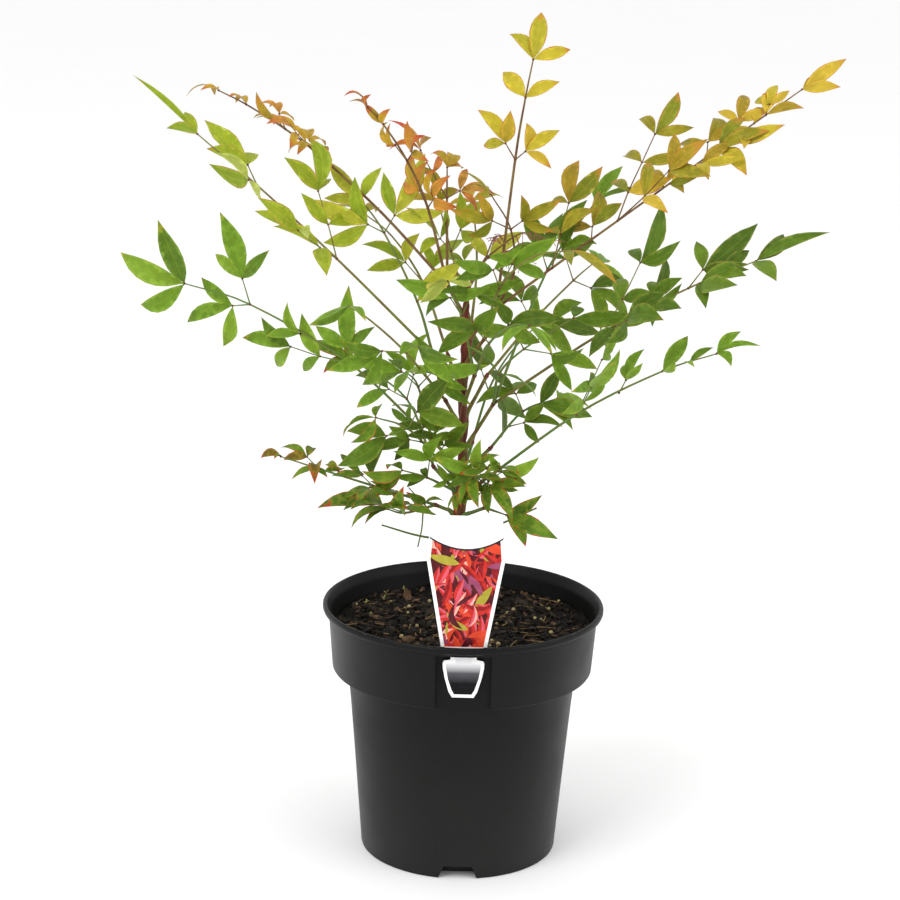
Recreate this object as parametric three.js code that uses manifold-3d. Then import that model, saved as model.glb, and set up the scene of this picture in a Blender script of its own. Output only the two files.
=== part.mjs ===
import * as THREE from "three";
import { mergeVertices } from "three/addons/utils/BufferGeometryUtils.js";
import Module from "manifold-3d";

// A young heavenly bamboo in its nursery pot. Millimetres, Z up.
// The origin is the centre of the pot's flat underside; the label faces -Y.

const wasm = await Module();
wasm.setup();

// Driving dimensions ---------------------------------------------------------

const GAP = 0.3; // clearance wherever two pieces meet

const POT_HEIGHT = 168;
const POT_BASE_R = 64.9;
const POT_MID_R = 70.1; // the body flares a little toward its top
const POT_MID_Z = 66;
const POT_WAIST_R = 75.4; // body just under the collar
const POT_COLLAR_Z = 124; // underside of the thicker collar
const POT_COLLAR_LOW_R = 85.3;
const POT_COLLAR_TOP_R = 88.3;
const POT_LIP_R = 92.2;
const POT_LIP_THICK = 4.8;
const POT_LIP_WIDTH = 2.2; // of its flat top
const POT_WALL = 2;
const POT_FLOOR = 3;
const POT_FLATS = 40;
const NOTCH_COUNT = 3; // drainage arches in the foot
const NOTCH_WIDTH = 26;
const NOTCH_HEIGHT = 9;
const NOTCH_INNER_R = 54;

const PANEL_X = 0.5; // middle of the recess behind the label
const PANEL_HALF = 17.6;
const PANEL_Y = -79.5;
const LEDGE_Z = 161; // shelf with the label's slot
const LEDGE_THICK = 3.2;
const SLOT_HALF = 13.6;
const SLOT_DEPTH = 2;

const LABEL_Y = -82;
const LABEL_THICK = 0.8;
const LABEL_TOP_Z = 252;

const SOIL_Z = 152;

const CANE_X = -5;
const CANE_LEAN = 0.012; // sideways for each millimetre of height
const CANE_TOP_Z = 380;
const CANE_FOOT_R = 3.1;
const CANE_TOP_R = 1.7;
const CANE_SWELL = 0.45;
const CANE_RINGS = [170, 198, 226, 258, 290, 322, 352];
const CANE_SIDES = 8;

const FLOWER_STUB = [377, 40, 52, 24]; // foot height, heading, rise, length
const OLD_STALK_R = 0.9;

const PETIOLE_FOOT_R = 1.5;
const PETIOLE_TIP_R = 1.1;
const KNUCKLE_R = 2.6; // swollen joint where a frond first forks
const PEG_R = 0.6; // pegs on the joint that the sprays' stems stand on
const PEG_REACH = 3.6;
const STEM_FOOT_R = 0.95;
const STEM_TIP_R = 0.6;
const STALK_R = 0.6;
const STALK_SIDES = 3;

const LEAF_WIDTH = 0.31; // of its length
const LEAF_THICK = 0.9;
const LEAF_SINK = 0.3; // how far a leaf's root runs past the stalk's middle
const LEAST_EDGE = 0.004; // a join that leaves a shorter edge is made again, a little fuller or slimmer
const FITS = [1, 1.25, 0.7, 1.6, 0.4, 2, 0.1, 2.5, 3, 3.6, 4.2, 5, 6, 7.5, 9];
const TRIO_ANGLE = 50;
const PAIR_ANGLE = 55;
const PINNA_ANGLE = 50;

const COLOUR = {
  pot: 0x2b2b2c,
  soil: 0x3a2a20,
  label: 0xf4f4f2,
  cane: 0x5a2f22,
  stalk: 0x6b4a34,
  gold: 0xa8a83a,
  bronze: 0xb8713a,
  red: 0x9a4a34,
  green: 0x5f8f3c,
  deep: 0x2f6a38,
};

// Fronds: foot height on the cane, heading, rise and length of the bare stalk.
const FRONDS = {
  upper_right: [342, 15, 48, 30],
  upper_left: [357, 150, 56, 26],
  mid_left: [318, 190, 40, 27],
  mid_right: [268, -20, 60, 42],
  left: [258, 175, 45, 27],
  lower_right: [234, -35, 48, 26],
  lower_left: [228, 200, 25, 18],
  foot_right: [226, -60, 25, 36],
  front: [300, -72, 50, 34],
  back: [322, 80, 50, 36],
  front_left: [285, 235, 50, 30],
  back_left: [305, 120, 50, 32],
  back_right: [290, 40, 55, 34],
  front_right: [328, -55, 45, 30],
  low_front: [250, -128, 40, 28],
  low_back: [250, 70, 45, 30],
  low_left: [240, 150, 40, 26],
  low_right: [254, 15, 42, 26],
  foot_front: [236, -95, 35, 20],
};

// Old leaf stalks cut short near the foot, in the same terms.
const OLD_STALKS = {
  old_stalk_left: [210, 192, 14, 52],
  old_stalk_left_short: [219, 172, 30, 40],
  old_stalk_low: [213, 235, -6, 32],
  old_stalk_right: [214, -20, 25, 58],
};

// Sprays of leaves: frond, heading first and last, rise first and last, lengths from joint
// to joint, side growth at each joint, leaf length first and last, roll, lift, droop, seed, colour.
// Side growth is 1 for a leaf, 3 for a stalk with three leaves, and 5 or 7 with pairs below
// the three; [left, right] where the two sides differ.
const SPRAYS = {
  upper_right_tall: [
    "upper_right", 58, 62, 79, 68, [95, 40, 25],
    [3, 1], 27, 31, 15, 0.15, 0.2, 153, "gold",
  ],
  upper_right_long: [
    "upper_right", 14, 15, 35, 34, [44, 52, 71, 47, 29],
    [[5, 0], [7, 5], 3, 1], 36, 31, 8, 0.35, 0.15, 160, "gold",
  ],
  upper_right_mid: [
    "upper_right", -30, -171, 64, 59, [27, 35, 26],
    [0, 3], 36, 32, 4, 0, 0.15, 356, "bronze",
  ],
  upper_left_long: [
    "upper_left", 160, 161, 43, 22, [63, 56, 27, 31, 21],
    [0, [5, 5], [3, 5], 1], 25, 18, 18, 0.15, 0.2, 89, "bronze",
  ],
  upper_left_tall: [
    "upper_left", 202, 217, 74, 43, [52, 34, 30, 16],
    [3, 3, 1], 29, 21, 14, 0.4, 0, 309, "bronze",
  ],
  upper_left_mid: ["upper_left", 93, 91, 62, 36, [58, 28], [[5, 3]], 31, 26, 25, 0, 0.3, 144, "red"],
  mid_left_long: [
    "mid_left", 189, 195, 45, 41, [88, 69, 49],
    [[5, 5], [3, 3]], 38, 30, -15, 0.3, 0.1, 138, "green",
  ],
  mid_left_up: [
    "mid_left", 148, 144, 69, 45, [35, 49, 27],
    [[0, 1], 3], 38, 34, -53, 0, 0.05, 28, "green",
  ],
  mid_right_long: [
    "mid_right", -23, -15, 37, 26, [91, 62, 45],
    [5, 3], 39, 43, 21, 0.4, 0.15, 134, "deep",
  ],
  mid_right_up: ["mid_right", 53, 42, 55, 44, [97, 58], [3], 40, 38, 5, 0.5, 0.05, 33, "deep"],
  mid_right_near: [
    "mid_right", -81, -6, 53, 35, [30, 28, 37],
    [1, 3], 39, 38, -45, 0.2, 0.35, 258, "green",
  ],
  left_long: [
    "left", 175, 176, 42, 16, [73, 74, 44],
    [[5, 3], [3, 3]], 34, 41, -110, 0.3, 0.1, 2, "green",
  ],
  left_near: ["left", 218, 252, 72, 32, [39, 28], [3], 40, 40, 32, 0.25, 0.55, 20, "green"],
  lower_right_long: [
    "lower_right", -34, -32, 39, 24, [89, 69, 39],
    [5, 1], 32, 29, 27, 0.5, 0.1, 280, "green",
  ],
  lower_left_long: [
    "lower_left", 202, 198, 21, 21, [47, 39, 26],
    [3, 3], 29, 18, -4, 0.15, 0.2, 77, "red",
  ],
  foot_right_low: ["foot_right", -38, -56, -5, -11, [17], [], 36, 34, 85, 0.6, 0.15, 133, "red"],
  foot_right_up: ["foot_right", -82, -65, 61, 37, [24, 17], [3], 30, 27, -18, 0.25, 0.4, 31, "red"],
  foot_left_low: ["lower_left", 218, 237, -3, 20, [25, 21], [3], 36, 37, 15, 0.55, 0.2, 152, "red"],
  front_long: ["front", -78, -71, 37, 12, [49, 50, 31], [3], 39, 36, -8, 0.6, 0.55, 300, "green"],
  front_up: ["front", -148, -118, 75, 52, [41, 32], [3], 38, 33, 42, 0.65, 0.75, 112, "green"],
  back_long: ["back", 86, 98, 33, 31, [50, 42, 27], [3], 38, 36, -17, 0, 0.25, 16, "green"],
  back_up: ["back", 148, 118, 70, 57, [49, 35], [3], 36, 33, -14, 0.5, 0.2, 37, "green"],
  front_left_long: ["front_left", 236, 234, 41, 30, [60, 44, 25], [3], 39, 37, 15, 0, 0.55, 23, "green"],
  back_left_long: ["back_left", 116, 137, 45, 24, [58, 44, 29], [3], 36, 37, -6, 0.3, 0.3, 61, "green"],
  back_right_long: ["back_right", 42, 58, 38, 16, [50, 48, 29], [3, 3], 38, 36, 38, 0, 0.3, 208, "deep"],
  front_right_long: [
    "front_right", -73, -46, 54, 16, [47, 44, 35],
    [3], 37, 34, -1, 0.85, 0.6, 230, "green",
  ],
  low_front_long: ["low_front", -134, -138, 42, 23, [40, 29], [3], 38, 32, 54, 0.05, 0.45, 23, "green"],
  low_back_long: ["low_back", 71, 49, 42, 29, [42, 34, 32], [3], 39, 37, 70, 0, 0.4, 23, "deep"],
  low_left_long: ["low_left", 128, 166, 52, 32, [50, 44], [3], 35, 35, -53, 0.3, 0.25, 352, "green"],
  low_right_long: ["low_right", 37, 37, 39, 10, [34, 29], [3], 38, 32, 29, 0.2, 0.4, 49, "deep"],
  foot_front_left: [
    "foot_front", -144, -158, 29, 20, [28, 18],
    [[3, 0]], 32, 31, 45, 0.45, 0.35, 109, "green",
  ],
  foot_front_right: [
    "foot_front", -57, -52, 44, -2, [20, 20],
    [[0, 3]], 32, 31, 45, 0.05, 0.45, 211, "green",
  ],
};

// Solids ---------------------------------------------------------------------

const UP = new THREE.Vector3(0, 0, 1);
const { degToRad, lerp } = THREE.MathUtils;

function solidOf(geometry) {
  const loose = geometry.index ? geometry.toNonIndexed() : geometry;
  const bare = new THREE.BufferGeometry();
  bare.setAttribute("position", loose.getAttribute("position"));
  const merged = mergeVertices(bare, 1e-4);
  const mesh = new wasm.Mesh({
    numProp: 3,
    vertProperties: merged.attributes.position.array,
    triVerts: new Uint32Array(merged.index.array),
  });
  return new wasm.Manifold(mesh);
}

// The one largest body: loose scraps go, and a hollow sealed inside is filled.
function wholeBody(solid) {
  const bodies = solid.decompose();
  bodies.sort((a, b) => b.volume() - a.volume());
  return bodies[0];
}

function shortestEdge(solid) {
  const { vertProperties, triVerts } = solid.getMesh();
  let shortest = Infinity;
  for (let i = 0; i < triVerts.length; i++) {
    const a = 3 * triVerts[i];
    const b = 3 * triVerts[i % 3 === 2 ? i - 2 : i + 1];
    const across = [0, 1, 2].map((k) => vertProperties[a + k] - vertProperties[b + k]);
    shortest = Math.min(shortest, Math.hypot(...across));
  }
  return shortest;
}

// Makes a shape in the first fit that leaves no short edge.
function cleanly(makeShape) {
  for (const fit of FITS) {
    const shape = makeShape(fit);
    if (shortestEdge(shape) >= LEAST_EDGE) return shape;
  }
  return null;
}

// Adds a piece to a body; one that joins cleanly in no fit is left off.
function weld(whole, makePiece) {
  return cleanly((fit) => whole.add(makePiece(fit))) ?? whole;
}

function meshOf(name, solid, colour, roughness = 0.6) {
  const { vertProperties, triVerts } = solid.getMesh();
  const geometry = new THREE.BufferGeometry();
  geometry.setAttribute("position", new THREE.BufferAttribute(new Float32Array(vertProperties), 3));
  geometry.setIndex(new THREE.BufferAttribute(new Uint32Array(triVerts), 1));
  geometry.computeVertexNormals();
  const material = new THREE.MeshStandardMaterial({ color: colour, roughness });
  const mesh = new THREE.Mesh(geometry, material);
  mesh.name = name;
  return mesh;
}

function turned(profile, flats) {
  const points = profile.map(([r, z]) => new THREE.Vector2(r, z));
  return new THREE.LatheGeometry(points, flats).rotateX(Math.PI / 2);
}

function block(x0, x1, y0, y1, z0, z1) {
  const box = new THREE.BoxGeometry(x1 - x0, y1 - y0, z1 - z0);
  return box.translate((x0 + x1) / 2, (y0 + y1) / 2, (z0 + z1) / 2);
}

function tapered(from, to, r0, r1, sides) {
  const along = to.clone().sub(from);
  const rod = new THREE.CylinderGeometry(r1, r0, along.length(), sides, 1);
  rod.applyQuaternion(
    new THREE.Quaternion().setFromUnitVectors(new THREE.Vector3(0, 1, 0), along.normalize()),
  );
  const middle = from.clone().add(to).multiplyScalar(0.5);
  return rod.translate(middle.x, middle.y, middle.z);
}

// The sum of vectors, each with its weight.
function blend(...terms) {
  const sum = new THREE.Vector3();
  for (const [vector, weight] of terms) sum.addScaledVector(vector, weight);
  return sum;
}

function cross(a, b) {
  return new THREE.Vector3().crossVectors(a, b);
}

function pointing(heading, rise) {
  const flat = Math.cos(degToRad(rise));
  const turn = degToRad(heading);
  return new THREE.Vector3(flat * Math.cos(turn), flat * Math.sin(turn), Math.sin(degToRad(rise)));
}

// Pot ------------------------------------------------------------------------

function potShell() {
  const lipZ = POT_HEIGHT - POT_LIP_THICK;
  const inner = POT_WALL;
  const profile = [
    [0, 0],
    [POT_BASE_R - 0.8, 0],
    [POT_BASE_R, 1],
    [POT_MID_R, POT_MID_Z],
    [POT_WAIST_R, POT_COLLAR_Z - 1],
    [POT_COLLAR_LOW_R - 1, POT_COLLAR_Z],
    [POT_COLLAR_LOW_R, POT_COLLAR_Z + 1],
    [POT_COLLAR_TOP_R, lipZ - 1],
    [POT_LIP_R - 0.6, lipZ],
    [POT_LIP_R, lipZ + 0.8],
    [POT_LIP_R, POT_HEIGHT - 0.8],
    [POT_LIP_R - 0.8, POT_HEIGHT],
    [POT_LIP_R - POT_LIP_WIDTH, POT_HEIGHT],
    [POT_LIP_R - POT_LIP_WIDTH - 0.6, POT_HEIGHT - 1],
    [POT_COLLAR_TOP_R - inner, lipZ - 2.5],
    [POT_COLLAR_LOW_R - inner, POT_COLLAR_Z + 3],
    [POT_WAIST_R - inner, POT_COLLAR_Z + 1],
    [POT_MID_R - inner, POT_MID_Z],
    [POT_BASE_R - inner, POT_FLOOR],
    [0, POT_FLOOR],
  ];
  return solidOf(turned(profile, POT_FLATS));
}

// The recess in the collar, the panel and cheeks round it with the shelf on top, and the
// label's slot in the shelf. The cheeks and the shelf reach out into the collar's wall.
function labelSeat() {
  const half = PANEL_HALF;
  const side = half + POT_WALL;
  const back = PANEL_Y + POT_WALL;
  const top = LEDGE_Z + LEDGE_THICK;
  const recess = solidOf(block(PANEL_X - half, PANEL_X + half, -95, PANEL_Y, POT_COLLAR_Z - 2, LEDGE_Z));
  const inset = 0.4;
  const withinWall = [
    [0, POT_COLLAR_Z],
    [POT_COLLAR_LOW_R - inset, POT_COLLAR_Z],
    [POT_COLLAR_TOP_R - inset, POT_HEIGHT - POT_LIP_THICK],
    [POT_COLLAR_TOP_R - inset, top + 1],
    [0, top + 1],
  ];
  const body = solidOf(block(PANEL_X - side, PANEL_X + side, -95, back, POT_COLLAR_Z + 1, top));
  const frame = body.intersect(solidOf(turned(withinWall, POT_FLATS))).subtract(recess);
  const slot = block(
    PANEL_X - SLOT_HALF,
    PANEL_X + SLOT_HALF,
    LABEL_Y - SLOT_DEPTH / 2,
    LABEL_Y + SLOT_DEPTH / 2,
    LEDGE_Z - 1,
    top + 1,
  );
  return { recess, frame, slot: solidOf(slot) };
}

function notchBox(grow) {
  const half = NOTCH_WIDTH / 2 + grow;
  return block(-half, half, -POT_BASE_R - 8, -NOTCH_INNER_R + grow, -1, NOTCH_HEIGHT + grow);
}

function notchArch() {
  const outline = new THREE.Shape();
  const half = NOTCH_WIDTH / 2;
  outline.moveTo(-half, -1);
  outline.lineTo(half, -1);
  outline.lineTo(half, 2);
  outline.lineTo(half - 4, NOTCH_HEIGHT);
  outline.lineTo(4 - half, NOTCH_HEIGHT);
  outline.lineTo(-half, 2);
  const depth = POT_BASE_R + 8 - NOTCH_INNER_R;
  const arch = new THREE.ExtrudeGeometry(outline, { depth, bevelEnabled: false });
  return arch.rotateX(Math.PI / 2).translate(0, -NOTCH_INNER_R, 0);
}

function makePot() {
  const shell = potShell();
  const seat = labelSeat();
  const within = [[0, 0], [POT_BASE_R - 0.5, 0], [POT_BASE_R + 1.2, 20], [0, 20]];
  const wallInside = solidOf(turned(within, POT_FLATS));
  let pot = shell.subtract(seat.recess).add(seat.frame).subtract(seat.slot);
  for (let i = 0; i < NOTCH_COUNT; i++) {
    const turn = (i * 2 * Math.PI) / NOTCH_COUNT;
    const hood = solidOf(notchBox(POT_WALL).rotateZ(turn));
    pot = pot.add(hood.intersect(wallInside));
    pot = pot.subtract(solidOf(notchArch().rotateZ(turn)));
  }
  return wholeBody(pot);
}

// Soil -----------------------------------------------------------------------

function makeSoil() {
  const clear = POT_WALL + GAP + 0.1;
  const slope = (POT_COLLAR_TOP_R - POT_COLLAR_LOW_R) / (POT_HEIGHT - POT_COLLAR_Z);
  const rise = SOIL_Z - POT_COLLAR_Z;
  const profile = [
    [0, POT_FLOOR + GAP],
    [POT_BASE_R - clear, POT_FLOOR + GAP],
    [POT_MID_R - clear, POT_MID_Z],
    [POT_WAIST_R - clear, POT_COLLAR_Z + 1 + GAP],
    [POT_COLLAR_LOW_R - clear, POT_COLLAR_Z + 3 + GAP],
    [POT_COLLAR_LOW_R + slope * rise - clear, SOIL_Z],
    [0, SOIL_Z],
  ];
  let soil = solidOf(turned(profile, POT_FLATS));
  const side = PANEL_HALF + POT_WALL + GAP;
  const behind = PANEL_Y + POT_WALL + GAP;
  soil = soil.subtract(solidOf(block(PANEL_X - side, PANEL_X + side, -95, behind, 100, 170)));
  for (let i = 0; i < NOTCH_COUNT; i++) {
    const turn = (i * 2 * Math.PI) / NOTCH_COUNT;
    soil = soil.subtract(solidOf(notchBox(POT_WALL + GAP).rotateZ(turn)));
  }
  return wholeBody(soil);
}

// Label: a stiff tag whose keystone tab hangs below the shelf ------------------

function makeLabel() {
  const half = [
    [19, LABEL_TOP_Z],
    [21.5, LABEL_TOP_Z - 2],
    [22.4, LABEL_TOP_Z - 6],
    [24.4, 223],
    [14.2, LEDGE_Z + LEDGE_THICK + GAP],
    [8.2, LEDGE_Z + LEDGE_THICK + GAP],
    [8.2, 157.4],
    [12.4, 156.6],
    [13.2, 155],
    [11.6, 145],
    [9, 136],
    [6.6, 132.3],
  ];
  const outline = new THREE.Shape();
  outline.moveTo(half[0][0], half[0][1]);
  for (const [x, z] of half.slice(1)) outline.lineTo(x, z);
  for (const [x, z] of half.slice().reverse()) outline.lineTo(-x, z);
  const sheet = new THREE.ExtrudeGeometry(outline, { depth: LABEL_THICK, bevelEnabled: false });
  return solidOf(sheet.rotateX(Math.PI / 2));
}

// Cane, old stalks and fronds --------------------------------------------------

function caneAxis(z) {
  return new THREE.Vector3(CANE_X + (z - SOIL_Z) * CANE_LEAN, 0, z);
}

function caneRadius(z) {
  return lerp(CANE_FOOT_R, CANE_TOP_R, (z - SOIL_Z) / (CANE_TOP_Z - SOIL_Z));
}

// The cane swells at each ring where leaves have grown; spare widens it all round.
function makeCane(spare) {
  const foot = SOIL_Z + GAP - spare;
  const top = CANE_TOP_Z + spare;
  const profile = [[0, foot], [caneRadius(foot) + 0.5 + spare, foot]];
  let last = foot;
  for (const ring of CANE_RINGS) {
    const between = (last + ring) / 2;
    profile.push([caneRadius(between) + spare, between]);
    profile.push([caneRadius(ring) + CANE_SWELL + spare, ring]);
    last = ring;
  }
  profile.push([CANE_TOP_R + spare, top], [0, top]);
  const lean = new THREE.Matrix4().set(
    1, 0, CANE_LEAN, CANE_X - SOIL_Z * CANE_LEAN,
    0, 1, 0, 0,
    0, 0, 1, 0,
    0, 0, 0, 1,
  );
  return solidOf(turned(profile, CANE_SIDES).applyMatrix4(lean));
}

const caneRoom = makeCane(GAP);

function limbTip([footZ, heading, rise, length]) {
  return caneAxis(footZ).addScaledVector(pointing(heading, rise), length);
}

// A bare limb that springs from the cane, its foot cut to sit round it.
function makeLimb(row, footR, tipR) {
  const foot = caneAxis(row[0]);
  return cleanly((fit) => {
    const rod = solidOf(tapered(foot, limbTip(row), footR * (0.95 + 0.05 * fit), tipR, 6));
    return wholeBody(rod.subtract(caneRoom));
  });
}

// A frond's bare stalk and the joint at its tip, with a peg toward each of its sprays.
function makeFrond(name) {
  const tip = limbTip(FRONDS[name]);
  let limb = makeLimb(FRONDS[name], PETIOLE_FOOT_R, PETIOLE_TIP_R);
  limb = weld(limb, (fit) => {
    const radius = KNUCKLE_R * (0.95 + 0.05 * fit);
    return solidOf(new THREE.OctahedronGeometry(radius).translate(...tip));
  });
  for (const [frond, heading, , rise] of Object.values(SPRAYS)) {
    if (frond !== name) continue;
    const end = blend([tip, 1], [pointing(heading, rise), PEG_REACH]);
    limb = weld(limb, (fit) => {
      const radius = PEG_R * (0.9 + 0.1 * fit);
      return solidOf(tapered(tip, end, radius, radius, 4));
    });
  }
  return wholeBody(limb);
}

// Growth of a spray ------------------------------------------------------------

// A repeatable number from 0 to 1 for each seed and count.
function chance(seed, count) {
  const wave = Math.sin(seed * 12.9898 + count * 78.233) * 43758.5453;
  return wave - Math.floor(wave);
}

// Grows a spray as a list of stalks and leaves, each knowing the stalk it stands on.
function growSpray(row) {
  const [frond, heading0, heading1, rise0, rise1, lengths, sides, leaf0, leaf1] = row;
  const [roll, lift, droop, seed] = row.slice(9);
  const parts = [];
  let count = 0;

  function stray(most) {
    count += 1;
    return (2 * chance(seed, count) - 1) * most;
  }

  function addLeaf(root, way, normal, size, parent, reach = 0) {
    const along = blend([way, 1], [normal, stray(0.2)], [UP, -droop]).normalize();
    const flatSide = cross(normal, along).normalize();
    const flatUp = cross(along, flatSide);
    const twist = stray(0.35);
    const side = blend([flatSide, Math.cos(twist)], [flatUp, Math.sin(twist)]);
    const length = size * (1 + stray(0.14));
    const width = length * LEAF_WIDTH * (1 + stray(0.1));
    parts.push({ kind: "leaf", root, along, side, length: length + reach, width, parent });
  }

  // Two side leaves and a longer one at the end of a stalk.
  function addTrio(at, way, normal, size, parent) {
    const side = cross(normal, way);
    for (const hand of [1, -1]) {
      const angle = degToRad(TRIO_ANGLE + stray(12));
      addLeaf(at, blend([way, Math.cos(angle)], [side, hand * Math.sin(angle)]), normal, size * 0.84, parent);
    }
    addLeaf(at, blend([way, 1], [side, stray(0.2)]), normal, size * 1.04, parent, size * 0.12);
  }

  function addPair(at, way, normal, size, parent) {
    const side = cross(normal, way);
    for (const hand of [1, -1]) {
      const angle = degToRad(PAIR_ANGLE + stray(12));
      addLeaf(at, blend([way, Math.cos(angle)], [side, hand * Math.sin(angle)]), normal, size * 0.84, parent);
    }
  }

  function addPinna(at, stem, side, hand, growth, size, parent) {
    const normal = cross(stem, side).normalize();
    const angle = degToRad(PINNA_ANGLE + stray(15));
    const out = blend([stem, Math.cos(angle)], [side, hand * Math.sin(angle)]);
    let way = blend([out, 1], [UP, lift + stray(0.2)]).normalize();
    if (growth === 1) {
      addLeaf(at, blend([out, 1], [UP, lift * 0.5]), normal, size * 0.9, parent);
      return;
    }
    const flatSide = cross(normal, way).normalize();
    const flatUp = cross(way, flatSide).normalize();
    const twist = stray(0.4);
    const spread = blend([flatSide, Math.cos(twist)], [flatUp, Math.sin(twist)]);
    const face = cross(way, spread);
    const pairs = (growth - 3) / 2;
    const points = [at, blend([at, 1], [way, size * (0.4 + 0.2 * pairs) * (1 + stray(0.25))])];
    const stalk = { kind: "stalk", points, parent, r0: STALK_R, r1: STALK_R * 0.8 };
    parts.push(stalk);
    for (let i = 0; i < pairs; i++) {
      addPair(points.at(-1), way, face, size, stalk);
      way = blend([way, 1], [UP, 0.05], [spread, stray(0.12)]).normalize();
      points.push(blend([points.at(-1), 1], [way, size * 0.62 * (1 + stray(0.15))]));
    }
    addTrio(points.at(-1), way, face, size, stalk);
  }

  const joint = limbTip(FRONDS[frond]);
  const tilt = degToRad(roll);
  const points = [blend([joint, 1], [pointing(heading0, rise0), PEG_REACH + GAP])];
  const main = { kind: "stalk", points, parent: null, r0: STEM_FOOT_R, r1: STEM_TIP_R };
  parts.push(main);
  let stem;
  let side;
  lengths.forEach((length, i) => {
    const share = lengths.length > 1 ? i / (lengths.length - 1) : 0;
    stem = pointing(lerp(heading0, heading1, share), lerp(rise0, rise1, share));
    const point = blend([i === 0 ? joint : points.at(-1), 1], [stem, length]);
    points.push(point);
    const flat = cross(UP, stem).normalize();
    side = blend([flat, Math.cos(tilt)], [cross(stem, flat), Math.sin(tilt)]);
    if (i < sides.length) {
      const [left, right] = Array.isArray(sides[i]) ? sides[i] : [sides[i], sides[i]];
      const size = lerp(leaf0, leaf1, share);
      if (left) addPinna(point, stem, side, 1, left, size, main);
      if (right) addPinna(point, stem, side, -1, right, size, main);
    }
  });
  addTrio(points.at(-1), stem, cross(stem, side), leaf1, main);
  return parts;
}

// A three-sided stalk through its points; spare widens it all round.
function stalkSolid({ points, r0, r1 }, spare, fit = 1) {
  const last = points.length - 1;
  const rod = new THREE.CylinderGeometry(1, 1, last, STALK_SIDES, last);
  let side = cross(UP, points[1].clone().sub(points[0])).normalize();
  const rings = points.map((point, i) => {
    const before = points[Math.max(i - 1, 0)];
    const after = points[Math.min(i + 1, last)];
    const way = after.clone().sub(before).normalize();
    side = blend([side, 1], [way, -side.dot(way)]).normalize();
    const end = i === last ? blend([point, 1], [way, STALK_R * 0.5]) : point;
    const radius = lerp(r0, r1, i / last) * (0.9 + 0.1 * fit) + spare;
    return { end, side, up: cross(side, way), radius };
  });
  const place = rod.getAttribute("position");
  for (let i = 0; i < place.count; i++) {
    const ring = rings[Math.round(place.getY(i) + last / 2)];
    const { x, y, z } = blend(
      [ring.end, 1],
      [ring.side, place.getX(i) * ring.radius],
      [ring.up, place.getZ(i) * ring.radius],
    );
    place.setXYZ(i, x, y, z);
  }
  return solidOf(rod);
}

// A flat eight-faced blade, widest before its middle; spare widens it all round.
function leafSolid({ root, along, side, length, width }, spare, fit = 1) {
  const blade = new THREE.OctahedronGeometry(1);
  const place = blade.getAttribute("position");
  for (let i = 0; i < place.count; i++) {
    if (Math.abs(place.getX(i)) < 0.5) place.setX(i, -0.12);
  }
  const whole = length + LEAF_SINK * fit;
  blade.scale(whole / 2 + spare, width / 2 + spare, LEAF_THICK / 2 + spare);
  const middle = blend([root, 1], [along, length - whole / 2]);
  blade.applyMatrix4(new THREE.Matrix4().makeBasis(along, side, cross(along, side)));
  return solidOf(blade.translate(middle.x, middle.y, middle.z));
}

// Pieces already standing, each with the box round it.
const standing = [];

function stand(owner, solid) {
  const { min, max } = solid.boundingBox();
  standing.push({ owner, solid, min, max });
}

function isBlocked(owner, solid) {
  const { min, max } = solid.boundingBox();
  return standing.some((other) => {
    if (other.owner === owner) return false;
    const apart = [0, 1, 2].some((k) => min[k] > other.max[k] || max[k] < other.min[k]);
    return !apart && solid.intersect(other.solid).volume() > 0;
  });
}

const MAKERS = { stalk: stalkSolid, leaf: leafSolid };

// Places the stalks or the leaves of a spray that stay clear of everything else.
function place(name, parts, kind) {
  for (const part of parts) {
    if (part.kind !== kind) continue;
    const rooted = part.parent === null || part.parent.placed;
    if (!rooted || isBlocked(name, MAKERS[kind](part, GAP))) continue;
    part.placed = true;
    stand(name, MAKERS[kind](part, 0));
  }
}

// Fuses the placed parts of a spray into one body.
function knit(parts) {
  const [stem, ...others] = parts.filter((part) => part.placed);
  const fuse = (whole, part) => weld(whole, (fit) => MAKERS[part.kind](part, 0, fit));
  return wholeBody(others.reduce(fuse, stalkSolid(stem, 0)));
}

// The plant --------------------------------------------------------------------

const limbs = [];

function addLimb(name, solid, colour) {
  limbs.push(meshOf(name, solid, colour));
  stand(name, solid);
}

addLimb("cane", makeCane(0), COLOUR.cane);
addLimb("flower_stub", makeLimb(FLOWER_STUB, 1.4, 1), COLOUR.stalk);
for (const [name, row] of Object.entries(OLD_STALKS)) {
  addLimb(name, makeLimb(row, OLD_STALK_R, OLD_STALK_R * 0.7), COLOUR.stalk);
}
for (const name of Object.keys(FRONDS)) addLimb(`stalk_${name}`, makeFrond(name), COLOUR.stalk);

const growth = Object.entries(SPRAYS).map(([name, row]) => {
  return { name, parts: growSpray(row), colour: row.at(-1) };
});
for (const { name, parts } of growth) place(name, parts, "stalk");
for (const { name, parts } of growth) place(name, parts, "leaf");
const masses = growth.map(({ name, parts, colour }) => meshOf(`leaves_${name}`, knit(parts), COLOUR[colour]));

const plant = new THREE.Group();
plant.name = "plant";
plant.add(...limbs, ...masses);

const label = meshOf("label", makeLabel(), COLOUR.label, 0.4);
label.position.set(PANEL_X, LABEL_Y + LABEL_THICK / 2, 0);

const root = new THREE.Group();
root.name = "potted_heavenly_bamboo";
root.add(meshOf("pot", makePot(), COLOUR.pot, 0.7));
root.add(meshOf("soil", makeSoil(), COLOUR.soil, 0.95));
root.add(label);
root.add(plant);

export default root;
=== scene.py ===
import math

import bpy
import numpy as np
from mathutils import Matrix, Vector, noise


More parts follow.
